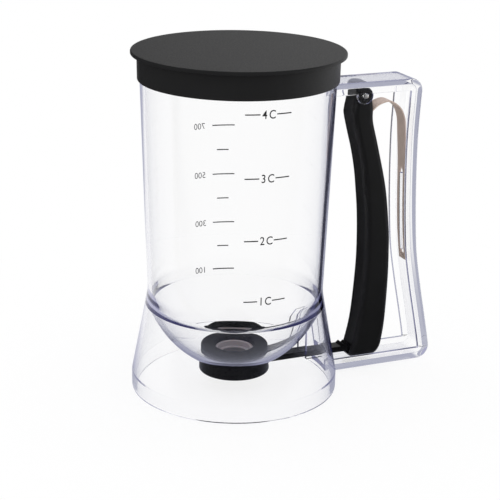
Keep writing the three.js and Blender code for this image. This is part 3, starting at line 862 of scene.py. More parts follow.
def ring_finish(colours):
    """Polypropylene with a blasted tool's dull skin, so it looks greyer than the cup."""
    look = {"roughness": 0.6, "lump": 1.0 * MM, "depth": 0.02 * MM, "level": 0.06}
    return moulded("polypropylene_moulded_dull", colours.ring, **look)


def seal_finish(colours):
    """Silicone rubber, compression moulded: soft grey, dull, with a little light inside it."""
    material, tree = new_finish("silicone_compression_moulded")
    fine = grain(tree, 1.0 * MM)
    surface = add(
        tree,
        "ShaderNodeBsdfPrincipled",
        Base_Color=mottled(tree, fine, colours.seal, spread=0.05),
        Roughness=0.6,
        IOR=1.41,
        Subsurface_Weight=0.15,
        Subsurface_Scale=1.5 * MM,
        Normal=add(tree, "ShaderNodeBump", Height=fine, Distance=0.02 * MM, Strength=1.0),
    )
    add(tree, "ShaderNodeOutputMaterial", Surface=surface)
    return material


def strip_finish(colours):
    """Stainless spring strip, cold rolled and pickled: a warm grey metal whose matt skin scatters
    part of its light, with faint lines along its length, about 0.25 mm apart, that smear its
    highlights sideways."""
    material, tree = new_finish("stainless_strip_pickled")
    lines = grain(tree, 0.5 * MM, detail=4, scale=(1, 1, 0.03))
    surface = add(
        tree,
        "ShaderNodeBsdfPrincipled",
        Base_Color=mottled(tree, lines, colours.strip, spread=0.1),
        Metallic=0.35,
        Roughness=between(tree, lines, 0.42, 0.56),
        Anisotropic=0.4,
        Normal=add(tree, "ShaderNodeBump", Height=lines, Distance=0.01 * MM, Strength=1.0),
    )
    add(tree, "ShaderNodeOutputMaterial", Surface=surface)
    return material


def pin_finish(colours):
    """Stainless wire, drawn and cut: bright, with fine rings round its cut ends."""
    material, tree = new_finish("stainless_wire_drawn")
    lines = grain(tree, 0.6 * MM, detail=2, scale=(1, 0.1, 1))
    surface = add(
        tree,
        "ShaderNodeBsdfPrincipled",
        Base_Color=mottled(tree, lines, colours.pin, spread=0.05),
        Metallic=1.0,
        Roughness=between(tree, lines, 0.15, 0.3),
    )
    add(tree, "ShaderNodeOutputMaterial", Surface=surface)
    return material


def ink_finish(colours):
    """Pad-printed ink, baked: a thin dark film, a little uneven where the pad lifted off."""
    material, tree = new_finish("ink_pad_printed")
    patches = grain(tree, 1.6 * MM)
    surface = add(
        tree,
        "ShaderNodeBsdfPrincipled",
        Base_Color=mottled(tree, patches, colours.ink, spread=0.3),
        Roughness=0.5,
    )
    add(tree, "ShaderNodeOutputMaterial", Surface=surface)
    return material


# The clear moulding


def bowl_curve(sizes, inset, rise, start, end):
    """Points down a bowl's wall. The half width inset and the half depth rise shrink the outer
    ellipse about its own centre. Equal steps of the ellipse's angle go from height start to
    height end."""
    centre = bowl_centre(sizes)
    half_width, half_depth = sizes.bowl_radius - inset, sizes.bowl_depth - rise
    angles = np.arcsin((centre - np.array([start, end])) / half_depth)
    angle = np.linspace(angles[0], angles[1], sizes.bowl_steps + 1)
    return np.stack([half_width * np.cos(angle), centre - half_depth * np.sin(angle)], axis=1)


def bowl_centre(sizes):
    """Height of the ellipse's centre: above the flat underside by the depth times the root of
    1 - share^2, share being the flat's radius over the ellipse's half width."""
    share = sizes.floor_radius / sizes.bowl_radius
    return sizes.floor_underside + sizes.bowl_depth * np.sqrt(1 - share**2)


def jug_profile(sizes):
    """Closed profile of barrel, bowl and skirt, up the outside and down the inside, round the
    floor's bore and back up and down inside the skirt."""
    s = sizes
    inner_waist = s.waist_radius - s.wall
    inner_share = inner_waist / (s.bowl_radius - s.lower_wall)
    join = bowl_centre(s) - (s.bowl_depth - s.floor_thickness) * np.sqrt(1 - inner_share**2)
    floor_top = s.floor_underside + s.floor_thickness
    hollow_top = s.collar_bottom - s.collar_web
    draft = (s.skirt_radius - s.collar_radius) / (s.collar_bottom - s.foot_band)
    mouth_low = s.rim_height - s.mouth_band
    inside = bowl_curve(s, s.lower_wall, s.floor_thickness, join, floor_top)
    outside = bowl_curve(s, 0, 0, hollow_top, s.floor_underside)
    corners = [
        (s.foot_radius, 0, s.foot_edge),
        (s.foot_radius, s.foot_band, s.foot_shoulder),
        (s.collar_radius, s.collar_bottom, s.collar_edge),
        (s.waist_radius, s.collar_top, s.barrel_edge),
        (s.mouth_radius, mouth_low, s.barrel_edge),
        (s.mouth_radius, s.rim_height, s.rim_edge),
        (s.mouth_radius - s.wall, s.rim_height, s.rim_edge),
        (s.mouth_radius - s.wall, mouth_low, s.barrel_edge),
        (*inside[0], s.join_edge),
        *[(radius, height, 0) for radius, height in inside[1:]],
        (s.bore_radius, floor_top, s.bore_edge),
        (s.bore_radius, s.floor_underside, s.bore_edge),
        *[(radius, height, 0) for radius, height in outside[::-1]],
        (s.collar_radius - s.lower_wall + s.collar_web * draft, hollow_top, s.web_edge),
        (s.foot_radius - s.foot_wall, s.foot_band, s.foot_shoulder),
        (s.foot_radius - s.foot_wall, 0, s.foot_edge),
    ]
    return divided(rounded(corners), s.step)


def skirt_middle(sizes, height):
    """Reach of the middle of the skirt's wall, which narrows evenly from its foot to the collar."""
    s = sizes
    outside = np.interp(height, [s.foot_band, s.collar_bottom], [s.foot_radius, s.collar_radius])
    return float(outside) - s.lower_wall / 2


def handle_line(container, handle):
    """The handle's outer edge in the XZ plane: from inside the barrel's wall along the top, an
    arc at the shoulder, a smooth line down the bar, an arc at the heel, and along the bottom
    into the skirt's wall."""
    h = handle
    flare = h.reach - h.waist
    out, down = HANDLE_BACK_SHARES.T
    bar = np.stack([h.waist + out * flare, h.top - down * (h.top - h.bottom)], axis=1)
    centre = (h.shoulder - h.shoulder_radius, h.top - h.shoulder_radius)
    shoulder = arc(centre, h.shoulder_radius, 90, 0)
    centre = (h.reach - h.heel_radius, h.bottom + h.heel_radius)
    heel = arc(centre, h.heel_radius, 0, -90)
    start = np.array([[container.mouth_radius - TOP_ROOT_SHARE * container.wall, h.top]])
    end = np.array([[container.foot_radius - HEEL_ROOT_SHARE * container.foot_wall, h.bottom]])
    middle = spline(np.vstack([shoulder[-1:], bar, heel[:1]]))[1:-1]
    line = np.vstack([start, shoulder, middle, heel, end])
    return divided(line, container.step, closed=False)


def channel_section(handle):
    """Closed outline of the channel as (depth, width): a web with a cheek at each side."""
    h = handle
    half, inner = h.width / 2, h.width / 2 - h.cheek
    corners = [
        (0, -half, h.edge),
        (0, half, h.edge),
        (h.depth, half, h.edge),
        (h.depth, inner, h.inner_edge),
        (h.web, inner, h.inner_edge),
        (h.web, -inner, h.inner_edge),
        (h.depth, -inner, h.inner_edge),
        (h.depth, -half, h.edge),
    ]
    return rounded(corners, steps=5)


def lug(handle, side):
    """A round tab: a disc with rounded edges, its axis along Y."""
    low, high = sorted((side * (handle.width / 2 - handle.cheek), side * handle.width / 2))
    profile = disc(LUG_HUB, handle.lug_radius, low, high, handle.inner_edge)
    return across(turned(profile, LUG_SIDES), handle.lug_reach, handle.lug_height)


def arm_window(handle, valve):
    """Half width, lower edge and upper edge of the skirt's window for the arm."""
    half = valve.arm_width / 2 + handle.rib_gap
    low = valve.slide_bottom - handle.window_drop
    return half, low, valve.slide_bottom + valve.arm + handle.window_rise


def guide_rib(container, handle, valve, side):
    """A rib beside the arm: its outline in the XZ plane, from inside the skirt to the middle of
    the skirt's wall, carried along Y over the rib's thickness."""
    half, low, _ = arm_window(handle, valve)
    outline = [
        (handle.rib_reach, low),
        (skirt_middle(container, low), low),
        (skirt_middle(container, handle.rib_top), handle.rib_top),
        (handle.rib_reach, handle.rib_top),
    ]
    return carried(outline, *sorted((side * half, side * (half + handle.rib))), axis=1)


def ridge(line, handle, spring, trigger):
    """The ridge that stands through the spring's slot: a section with two rounded edges, carried
    along the bar of the handle's line."""
    low, high = spring.slot_low + handle.ridge_start, spring.slot_high - spring.slot
    bar = line[(line[:, 1] > low) & (line[:, 1] < high) & (line[:, 0] > trigger.pivot_reach)]
    half, edge = spring.slot / 2 - handle.ridge_gap, handle.ridge_edge
    root = handle.web / 2
    depth = handle.web + spring.gap + spring.thickness + handle.ridge_proud
    section = [(root, -half, 0), (root, half, 0), (depth, half, edge), (depth, -half, edge)]
    return swept(bar, rounded(section))


def pin_bore(trigger, clearance, half):
    """A round cutting shape along the pin's axis, half its length to each side."""
    grid = turned([(trigger.pin_radius + clearance, end) for end in (-half, half)], BORE_SIDES)
    return make_object("bore", across(grid, trigger.pivot_reach, trigger.pivot_height))


def strip_line(container, handle, spring):
    """Middle line of the spring's strip: its inner leg, its arch, and its outer leg, which lies
    a gap off the handle's web."""
    line = handle_line(container, handle)
    bar = line[(line[:, 1] < spring.arch) & (line[:, 1] > handle.bottom + handle.heel_radius)]
    setting = handle.web + spring.gap + spring.thickness / 2

    def web_reach(height):
        return np.interp(-height, -bar[:, 1], bar[:, 0]) - setting

    landing = web_reach(np.array([spring.landing]))[0]
    span, rise = landing - spring.inner, spring.arch - spring.landing
    along, up = ARCH_SHARES.T
    arch = np.stack([spring.inner + along * span, spring.landing + up * rise], axis=1)
    heights = spring.landing + LEG_SHARES * (spring.end - spring.landing)
    leg = np.stack([web_reach(heights), heights], axis=1)
    return spline(np.vstack([arch, leg]), steps=12)


class DISPENSER_OT_container(bpy.types.Operator):
    """Build the clear moulding: barrel, bowl, skirt, handle loop, lugs, ribs and ridge"""

    bl_idname = "dispenser.container"
    bl_label = "Clear container"

    def execute(self, context):
        scene = context.scene
        container, handle = scene.dispenser_container, scene.dispenser_handle
        spring, valve = scene.dispenser_spring, scene.dispenser_valve
        trigger = scene.dispenser_trigger
        walls = turned(jug_profile(container), container.sides)
        jug = make_object("clear_container", walls, closed=True)
        line = handle_line(container, handle)
        added = [make_object("loop", swept(line, channel_section(handle)))]
        added += [make_object("lug", lug(handle, side)) for side in (-1, 1)]
        ribs = [guide_rib(container, handle, valve, side) for side in (-1, 1)]
        added += [make_object("rib", rib) for rib in ribs]
        added.append(make_object("ridge", ridge(line, handle, spring, trigger)))
        combine(jug, added, "UNION")
        half, low, high = arm_window(handle, valve)
        window = box_outline((-half, low), (half, high))
        inside = container.collar_radius - container.wall
        window = carried(window, inside, container.foot_radius + OVERSHOOT, axis=0)
        bore = pin_bore(trigger, handle.pin_clearance, handle.width)
        combine(jug, [make_object("window", window), bore], "DIFFERENCE")
        material = clear_moulding(scene.dispenser_finishes)
        dress(jug, material, "container", ["container"], sharp=28)
        return {"FINISHED"}


class DISPENSER_OT_lid(bpy.types.Operator):
    """Build the press-on lid: a flat flanged top with a straight skirt"""

    bl_idname = "dispenser.lid"
    bl_label = "Lid"

    def execute(self, context):
        scene = context.scene
        lid, container = scene.dispenser_lid, scene.dispenser_container
        underside = lid.top - lid.plate
        inner = container.mouth_radius + lid.gap
        outer = inner + lid.wall
        corners = [
            (LID_HUB, underside, 0),
            (inner, underside, lid.fillet),
            (inner, lid.bottom, lid.lower_edge),
            (outer - lid.draft, lid.bottom, lid.lower_edge),
            (outer, underside, lid.fillet),
            (lid.radius, underside, lid.lower_edge),
            (lid.radius, lid.top, lid.edge),
            (LID_HUB, lid.top, 0),
        ]
        made = make_object("press_on_lid", turned(rounded(corners), container.sides))
        dress(made, lid_finish(scene.dispenser_finishes), "lid", ["lid"])
        return {"FINISHED"}


# The trigger, its pin and its spring


def lever_grid(trigger):
    """Rounded sections of the lever at each height. Front and back are smooth lines through the
    share tables. Near head and toe, front and back draw in by R - sqrt(R^2 - d^2), where R is
    the rounding there and d the way into it, and so do the sides."""
    t = trigger
    drop = t.pivot_height - t.foot
    way = 1 - np.cos(np.linspace(0, np.pi / 2, END_POINTS))
    toe = t.foot + max(t.toe_front, t.toe_back, t.edge) * way
    head = t.top - max(t.head_front, t.head_back, t.edge) * way
    middle = np.linspace(toe[-1], head[-1], t.levels)[1:-1]
    height = np.concatenate([toe, middle, head[::-1]])

    def line(shares):
        reach = t.pivot_reach + shares[:, 0] * t.reach
        points = spline(np.stack([reach, t.pivot_height - shares[:, 1] * drop], axis=1))
        return np.interp(-height, -points[:, 1], points[:, 0])

    def drawn_in(end, radius):
        way = np.clip(radius - np.abs(height - end), 0, radius)
        return radius - np.sqrt(np.maximum(radius**2 - way**2, 0))

    front = line(GRIP_FRONT_SHARES) + drawn_in(t.foot, t.toe_front) + drawn_in(t.top, t.head_front)
    back = line(GRIP_BACK_SHARES) - drawn_in(t.foot, t.toe_back) - drawn_in(t.top, t.head_back)
    half_width = t.width / 2 - drawn_in(t.foot, t.edge) - drawn_in(t.top, t.edge)
    half_depth = (back - front) / 2
    centre = (back + front) / 2
    radius = np.minimum(t.edge, np.minimum(half_depth, half_width) * ROUNDEST_SHARE)
    corner = np.repeat(np.arange(4), QUARTER_POINTS) * np.pi / 2
    angle = np.tile(np.linspace(0, np.pi / 2, QUARTER_POINTS), 4) + corner
    side_x, side_y = np.sign(np.cos(corner + np.pi / 4)), np.sign(np.sin(corner + np.pi / 4))
    x = centre[:, None] + (half_depth - radius)[:, None] * side_x + radius[:, None] * np.cos(angle)
    y = (half_width - radius)[:, None] * side_y + radius[:, None] * np.sin(angle)
    slope = np.clip(1 - (height - t.foot) / (TOE_RUN * t.toe_back), 0, 1)[:, None]
    z = height[:, None] - slope * t.toe_slope * (x - centre[:, None]) / half_depth.max()
    return np.stack([x, y, z], axis=-1)


class DISPENSER_OT_trigger(bpy.types.Operator):
    """Build the trigger lever with its bore, its spring pocket and its slot for the arm"""

    bl_idname = "dispenser.trigger"
    bl_label = "Trigger"

    def execute(self, context):
        scene = context.scene
        trigger, valve = scene.dispenser_trigger, scene.dispenser_valve
        spring = scene.dispenser_spring
        lever = make_object("trigger_lever", lever_grid(trigger))
        strip = strip_line(scene.dispenser_container, scene.dispenser_handle, spring)
        span = strip[-1, 0] - spring.inner
        leg = strip[strip[:, 0] < spring.inner + INNER_LEG_SHARE * span]
        deep = spring.clearance + spring.thickness / 2
        wide = spring.width / 2 + spring.side_clearance
        leg_pocket = swept(leg, np.array(box_outline((-deep, -wide), (deep, wide))))
        side = valve.arm_width / 2 + trigger.pocket_side
        front = trigger.pocket_front
        pocket = box_outline(
            (front, trigger.pocket_low), (trigger.pocket_back, trigger.pocket_high)
        )
        half = valve.arm_width / 2 + trigger.slot_gap
        low = valve.slide_bottom - trigger.slot_drop
        high = valve.slide_bottom + valve.arm + trigger.slot_gap
        slot = box_outline((front - trigger.slot_reach, low), (front + OVERSHOOT, high))
        cuts = [
            pin_bore(trigger, trigger.bore_clearance, trigger.width),
            make_object("leg_pocket", leg_pocket),
            make_object("hook_pocket", carried(pocket, -side, side, axis=1)),
            make_object("arm_slot", carried(slot, -half, half, axis=1)),
        ]
        combine(lever, cuts, "DIFFERENCE")
        material = trigger_finish(scene.dispenser_finishes)
        dress(lever, material, "trigger", ["trigger"])
        return {"FINISHED"}


class DISPENSER_OT_pin(bpy.types.Operator):
    """Build the steel pin with its rounded ends"""

    bl_idname = "dispenser.pin"
    bl_label = "Pivot pin"

    def execute(self, context):
        scene = context.scene
        trigger, half = scene.dispenser_trigger, scene.dispenser_handle.width / 2
        profile = disc(PIN_HUB, trigger.pin_radius, -half, half, trigger.pin_edge)
        grid = across(turned(profile, PIN_SIDES), trigger.pivot_reach, trigger.pivot_height)
        made = make_object("hinge_pin", grid)
        material = pin_finish(scene.dispenser_finishes)
        dress(made, material, "container", ["pivot_pin"])
        return {"FINISHED"}


class DISPENSER_OT_spring(bpy.types.Operator):
    """Build the bent strip with its slot"""

    bl_idname = "dispenser.spring"
    bl_label = "Return spring"

    def execute(self, context):
        scene = context.scene
        spring = scene.dispenser_spring
        line = strip_line(scene.dispenser_container, scene.dispenser_handle, spring)
        deep, wide = spring.thickness / 2, spring.width / 2
        section = fillet(box_outline((-deep, -wide), (deep, wide)), spring.edge, steps=3)
        strip = make_object("leaf_spring", swept(line, section))
        half = spring.slot / 2
        outline = [
            (-half, spring.slot_low),
            (half, spring.slot_low),
            (half, spring.slot_high - spring.slot),
            (0, spring.slot_high),
            (-half, spring.slot_high - spring.slot),
        ]
        foot = line[-1, 0]
        slot = carried(outline, foot - SLOT_INSIDE, foot + SLOT_OUTSIDE, axis=0)
        combine(strip, [make_object("slot", slot)], "DIFFERENCE")
        material = strip_finish(scene.dispenser_finishes)
        dress(strip, material, "container", ["return_spring"])
        strip.parent = None
        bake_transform(strip)
        return {"FINISHED"}


# The valve


class DISPENSER_OT_slide(bpy.types.Operator):
    """Build the valve slide: a round-ended shutter and an arm with a tooth, a step and a hook"""

    bl_idname = "dispenser.slide"
    bl_label = "Valve slide"

    def execute(self, context):
        scene = context.scene
        v = scene.dispenser_valve
        half, radius, end = v.arm_width / 2, v.shutter_radius, v.arm_start + v.arm_width
        plan = np.vstack(
            [
                [(end, half), (v.arm_start, half), (v.shutter_start, radius)],
                arc((0, 0), radius, 90, 270, steps=SHUTTER_STEPS),
                [(v.shutter_start, -radius), (v.arm_start, -half), (end, -half)],
            ]
        )
        plate = carried(plan, v.slide_bottom, v.slide_bottom + v.shutter, axis=2)
        shutter = make_object("shutter_slide", plate)
        top = v.slide_bottom + v.arm
        hook_front = scene.dispenser_trigger.pocket_front + v.hook_gap
        side = [
            (v.arm_start, v.slide_bottom),
            (hook_front + v.hook, v.slide_bottom),
            (hook_front + v.hook, SLIDE_HIGH.z),
            (hook_front, SLIDE_HIGH.z),
            (hook_front, top),
            (v.step_reach, top),
            (v.step_reach, top + v.step),
            (v.step_reach - v.step_length, top),
            (v.tooth_reach + v.tooth_half, top),
            (v.tooth_reach, top + v.tooth),
            (v.tooth_reach - v.tooth_half, top),
            (v.arm_start + v.arm, top),
            (v.arm_start, v.slide_bottom + v.shutter),
        ]
        arm = make_object("arm", carried(side, -half, half, axis=1))
        combine(shutter, [arm], "UNION")
        soften(shutter, v.slide_edge)
        material = valve_finish(scene.dispenser_finishes)
        dress(shutter, material, "valve_slide", ["valve_slide"])
        return {"FINISHED"}


class DISPENSER_OT_cup(bpy.types.Operator):
    """Build the valve cup below the bowl, with its channel for the slide and its outlet"""

    bl_idname = "dispenser.cup"
    bl_label = "Valve cup"

    def execute(self, context):
        scene = context.scene
        v, bore = scene.dispenser_valve, scene.dispenser_container.bore_radius
        channel_top = v.slide_bottom + v.shutter + v.gap
        channel_low = v.cup_bottom + v.cup_floor
        corners = [
            (v.outlet_radius, v.cup_bottom, v.rim_edge),
            (v.cup_radius, v.cup_bottom, v.cup_edge),
            (v.cup_radius, v.cup_top, v.lip_edge),
            (bore, v.cup_top, v.lip_edge),
            (bore, channel_top, 0),
            (v.outlet_radius, channel_top, 0),
        ]
        cup = make_object("valve_cup", turned(rounded(corners), v.sides), closed=True)
        half = v.shutter_radius + v.gap
        end = v.cup_radius + OVERSHOOT
        round_end = arc((0, 0), half, 90, 270, steps=SHUTTER_STEPS)
        plan = np.vstack([[(end, half)], round_end, [(end, -half)]])
        channel = make_object("channel", carried(plan, channel_low, channel_top, axis=2))
        combine(cup, [channel], "DIFFERENCE")
        material = valve_finish(scene.dispenser_finishes)
        dress(cup, material, "container", ["valve_housing"])
        return {"FINISHED"}


class DISPENSER_OT_ring(bpy.types.Operator):
    """Build the ring inside the bowl and the soft seal in it"""

    bl_idname = "dispenser.ring"
    bl_label = "Seat ring and seal"

    def execute(self, context):
        scene = context.scene
        v, colours = scene.dispenser_valve, scene.dispenser_finishes
        sleeve = scene.dispenser_container.bore_radius - v.gap
        flange_low = v.ring_top - v.ring_flange
        corners = [
            (v.ring_bore, v.ring_bottom, v.lip_edge),
            (sleeve, v.ring_bottom, v.lip_edge),
            (sleeve, flange_low, v.fine_edge),
            (v.ring_radius, flange_low, v.rim_edge),
            (v.ring_radius, v.ring_top, v.ring_edge),
            (v.ring_bore, v.ring_top, v.ring_edge),
        ]
        ring = make_object("seat_ring", turned(rounded(corners), v.sides), closed=True)
        dress(ring, ring_finish(colours), "container", ["valve_seat"])
        outer, low, high = v.ring_bore - v.gap, SEAL_LOW.z, SEAL_HIGH.z
        inner = outer - v.seal_wall
        corners = [
            (inner, low, v.fine_edge),
            (sleeve - v.gap, low, v.fine_edge),
            (sleeve - v.gap, low + v.seal_flange, v.fine_edge),
            (outer, low + v.seal_flange, v.fine_edge),
            (outer, high, v.rim_edge),
            (inner, high, v.rim_edge),
            (inner, v.lip_top, v.fine_edge),
            (v.lip, v.lip_top, v.lip_edge),
            (v.lip, v.lip_top - v.seal_flange, v.lip_edge),
            (inner, v.lip_top - v.seal_flange, v.fine_edge),
        ]
        seal = make_object("seal_ring", turned(rounded(corners), v.sides), closed=True)
        dress(seal, seal_finish(colours), "container", ["valve_seal"])
        return {"FINISHED"}


# The printed scales


def barrel_radius(container, height):
    """Outer radius of the barrel, straight from the waist up to the mouth's band, and the
    collar's radius below the waist."""
    straight = container.rim_height - container.mouth_band - container.collar_top
    share = (height - container.collar_top) / straight
    radius = container.waist_radius + share * (container.mouth_radius - container.waist_radius)
    return np.where(height > container.collar_top, radius, container.collar_radius)


def wrap(points, container, marks, angle, height):
    """Lays flat points (right, up, out) on the barrel: right becomes an angle of right / radius
    beyond angle, up becomes height, and out becomes the distance from the wall."""
    up = height + points[:, 1]
    radius = barrel_radius(container, up) + marks.clear + points[:, 2]
    around = angle + points[:, 0] / radius
    return np.stack([radius * np.sin(around) + AXIS_X, -radius * np.cos(around), up], axis=1)


def figure(text, size, width, weight, angle, container, marks, height):
    """A thin closed print of a text, centred on an angle and a height: (points, faces). Width
    narrows its figures, and weight thickens their strokes."""
    curve = bpy.data.curves.new("figure", "FONT")
    curve.body = text
    curve.size = size / FIGURE_SHARE
    curve.align_x = "CENTER"
    curve.extrude = marks.ink / 2
    curve.offset = size * weight
    curve.resolution_u = FIGURE_STEPS
    flat = link_object("figure", curve)
    mesh = finished_mesh(flat)
    points = np.empty(len(mesh.vertices) * 3)
    mesh.vertices.foreach_get("co", points)
    points = (points.reshape(-1, 3) - [0, size / 2, -marks.ink / 2]) * [width, 1, 1]
    faces = [list(face.vertices) for face in mesh.polygons]
    bpy.data.objects.remove(flat)
    bpy.data.meshes.remove(mesh)
    return wrap(points, container, marks, angle, height), faces


def dash(start, end, container, marks, height):
    """A thin closed line along the barrel from one angle to another: (points, faces). It is a
    flat box in section, at equal steps to the right."""
    reach = float(barrel_radius(container, np.array([height]))[0])
    right = np.linspace(0, (end - start) * reach, DASH_POINTS)
    half = marks.line / 2
    up, out = np.array(box_outline((-half, 0), (half, marks.ink))).T
    sides = len(up)
    points = [np.repeat(right, sides), np.tile(up, DASH_POINTS), np.tile(out, DASH_POINTS)]
    index = np.arange(DASH_POINTS * sides).reshape(DASH_POINTS, sides)
    faces = quads_between(index[1:], index[:-1]) + [index[0].tolist(), index[-1].tolist()]
    return wrap(np.stack(points, axis=1), container, marks, start, height), faces


def print_object(name, prints, material):
    """One object from several prints."""
    places = np.vstack([points for points, _ in prints])
    starts = np.cumsum([0] + [len(points) for points, _ in prints]).tolist()
    faces = []
    for start, (_, listed) in zip(starts, prints):
        faces += [[start + point for point in face] for face in listed]
    mesh = bpy.data.meshes.new(name)
    mesh.from_pydata(places.tolist(), [], faces)
    face_outwards(mesh, apart=SAME_POINT)
    mesh.materials.append(material)
    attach(link_object(name, mesh), "container")


class DISPENSER_OT_marks(bpy.types.Operator):
    """Print the cups on the front of the barrel and the millilitres on its back"""

    bl_idname = "dispenser.marks"
    bl_label = "Measuring scales"

    def execute(self, context):
        scene = context.scene
        container, marks = scene.dispenser_container, scene.dispenser_marks
        ink = ink_finish(scene.dispenser_finishes)
        cups, style = [], (marks.cup_glyph, marks.cup_width, marks.cup_weight)
        for number in range(marks.cups):
            lean = number * marks.cup_lean
            place = (container, marks, marks.first_cup + number * marks.cup_rise)
            cups.append(dash(marks.cup_dash_from - lean, marks.cup_dash_to - lean, *place))
            for text, angle in ((str(number + 1), marks.cup_figure), ("C", marks.cup_letter)):
                cups.append(figure(text, *style, angle - lean, *place))
            cups.append(dash(marks.cup_line_from - lean, marks.cup_line_to - lean, *place))
        print_object("cup_scale", cups, ink)
        small, style = [], (marks.small_glyph, marks.small_width, marks.small_weight)
        for number in range(marks.hundreds):
            lean = number * marks.small_lean
            place = (container, marks, marks.first_small + number * marks.small_rise)
            if number % 2:
                small.append(dash(marks.short_from + lean, marks.short_to + lean, *place))
            else:
                small.append(dash(marks.long_from + lean, marks.long_to + lean, *place))
                angle = marks.small_figure + lean
                small.append(figure(f"{number + 1}00", *style, angle, *place))
        print_object("millilitre_scale", small, ink)
        return {"FINISHED"}


# The stage


def camera_matrix(studio):
    """The camera stands at (-D sin b, -D cos b, height), D being its distance from the axis and
    b its bearing. It looks along the bearing turned by the yaw, tipped down by the pitch, and is
    then rolled about that line."""
    bearing, pitch, roll = studio.bearing, studio.pitch, studio.roll
    heading = bearing + studio.yaw
    side, front = studio.distance * np.sin(bearing), studio.distance * np.cos(bearing)
    ahead = np.array([np.sin(heading), np.cos(heading), 0]) * np.cos(pitch)
    ahead[2] = -np.sin(pitch)
    right = np.cross(ahead, [0, 0, 1])
    right /= np.linalg.norm(right)
    up = np.cross(right, ahead)
    matrix = np.eye(4)
    matrix[:3, 0] = np.cos(roll) * right + np.sin(roll) * up
    matrix[:3, 1] = np.cos(roll) * up - np.sin(roll) * right
    matrix[:3, 2] = -ahead
    matrix[:3, 3] = [AXIS_X - side, -front, studio.height]
    return Matrix(matrix.tolist())


def area_lamp(name, place, target, size, power):
    """A soft square lamp that faces a target."""
    lamp = bpy.data.lights.new(name, "AREA")
    lamp.shape = "SQUARE"
    lamp.size = size
    lamp.energy = power
    made = link_object(name, lamp)
    made.location = place
    made.rotation_mode = "QUATERNION"
    made.rotation_quaternion = (Vector(target) - made.location).to_track_quat("-Z", "Y")


def towards(tree, place, bearing, span):
    """A share that goes smoothly from 0 to 1 as the part of a place, or of a direction, that
    lies along a level bearing goes over a span from low to high."""
    level = (np.sin(bearing), np.cos(bearing), 0)
    along = add(tree, "ShaderNodeVectorMath", {"operation": "DOT_PRODUCT"}, (place, level))
    ends = {"From_Min": span[0], "From_Max": span[1]}
    return add(tree, "ShaderNodeMapRange", SMOOTH, Value=along.outputs["Value"], **ends)


def seen_by_path(tree, plain, gloss, clear, dim, white, front):
    """What light meets in the studio, by its path. Light that nothing has mirrored sees plain.
    Gloss on bare pieces sees gloss. Light that clear plastic has mirrored, which alone is
    mirrored sharply, sees clear, but in front, where front is 1, it sees dim, or white after
    more than a few surfaces."""
    path = add(tree, "ShaderNodeLightPath").outputs
    least, most = {"operation": "MINIMUM"}, {"operation": "MAXIMUM"}
    mirrored = add(tree, "ShaderNodeMath", least, (path["Glossy Depth"], 1))
    inside = add(tree, "ShaderNodeMath", least, (path["Transmission Depth"], 1))
    inside = add(tree, "ShaderNodeMath", most, (inside, path["Is Singular Ray"]))
    above = {"operation": "GREATER_THAN"}
    late = add(tree, "ShaderNodeMath", above, (path["Ray Depth"], MOST_SURFACES))
    ahead = add(tree, "ShaderNodeMixShader", inputs=(late, dim, white))
    clear = add(tree, "ShaderNodeMixShader", inputs=(front, clear, ahead))
    seen = add(tree, "ShaderNodeMixShader", inputs=(inside, gloss, clear))
    return add(tree, "ShaderNodeMixShader", inputs=(mirrored, plain, seen))


def floor_finish(colours, studio):
    """Board, painted matt white. The camera sees the white background in most of it, and in all of
    it away from the object, so that a faint shadow is left. Clear plastic sees white too, but
    lavender near the object and in a quarter behind it; the lavender near the object is painted
    shade round its foot. Gloss sees the floor dim, apart from that quarter. Matt pieces are lit by
    the board itself."""
    material, tree = new_finish("board_painted_matt_white")
    board = add(tree, "ShaderNodeBsdfDiffuse", Color=colours.floor)
    dim = add(tree, "ShaderNodeBsdfDiffuse", Color=colours.floor_gloss)
    white = add(tree, "ShaderNodeEmission", Color=WHITE, Strength=1.0)
    beside = add(tree, "ShaderNodeEmission", Color=studio.beside, Strength=1.0)
    place = add(tree, "ShaderNodeTexCoord").outputs["Object"]
    far = add(tree, "ShaderNodeVectorMath", {"operation": "LENGTH"}, Vector=place)
    far = far.outputs["Value"]
    ends = {"From_Min": studio.shadow_from, "From_Max": studio.shadow_to}
    fade = add(tree, "ShaderNodeMapRange", SMOOTH, Value=far, To_Min=studio.near_white, **ends)
    plain = add(tree, "ShaderNodeMixShader", inputs=(fade, board, white))
    right = studio.bearing + studio.right_turn
    bright = towards(tree, place, right, FLOOR_GLOSS_SPAN)
    gloss = add(tree, "ShaderNodeMixShader", inputs=(bright, dim, white))
    # Painted shade: near the object the floor shows lavender to light that clear plastic has
    # mirrored
    ends = {"From_Min": OPEN_FLOOR_SPAN[0], "From_Max": OPEN_FLOOR_SPAN[1]}
    open_floor = add(tree, "ShaderNodeMapRange", SMOOTH, Value=far, **ends)
    near = add(tree, "ShaderNodeMath", {"operation": "SUBTRACT"}, (1, open_floor))
    quarter = towards(tree, place, right, FLOOR_QUARTER_SPAN)
    lavender = add(tree, "ShaderNodeMath", {"operation": "MAXIMUM"}, (quarter, near))
    clear = add(tree, "ShaderNodeMixShader", inputs=(lavender, white, beside))
    span = (studio.front_from, studio.front_to)
    front = towards(tree, place, studio.bearing + np.pi, span)
    shown = seen_by_path(tree, plain, gloss, clear, dim, white, front)
    thrown = add(tree, "ShaderNodeLightPath").outputs["Is Diffuse Ray"]
    shown = add(tree, "ShaderNodeMixShader", inputs=(thrown, shown, board))
    add(tree, "ShaderNodeOutputMaterial", Surface=shown)
    return material


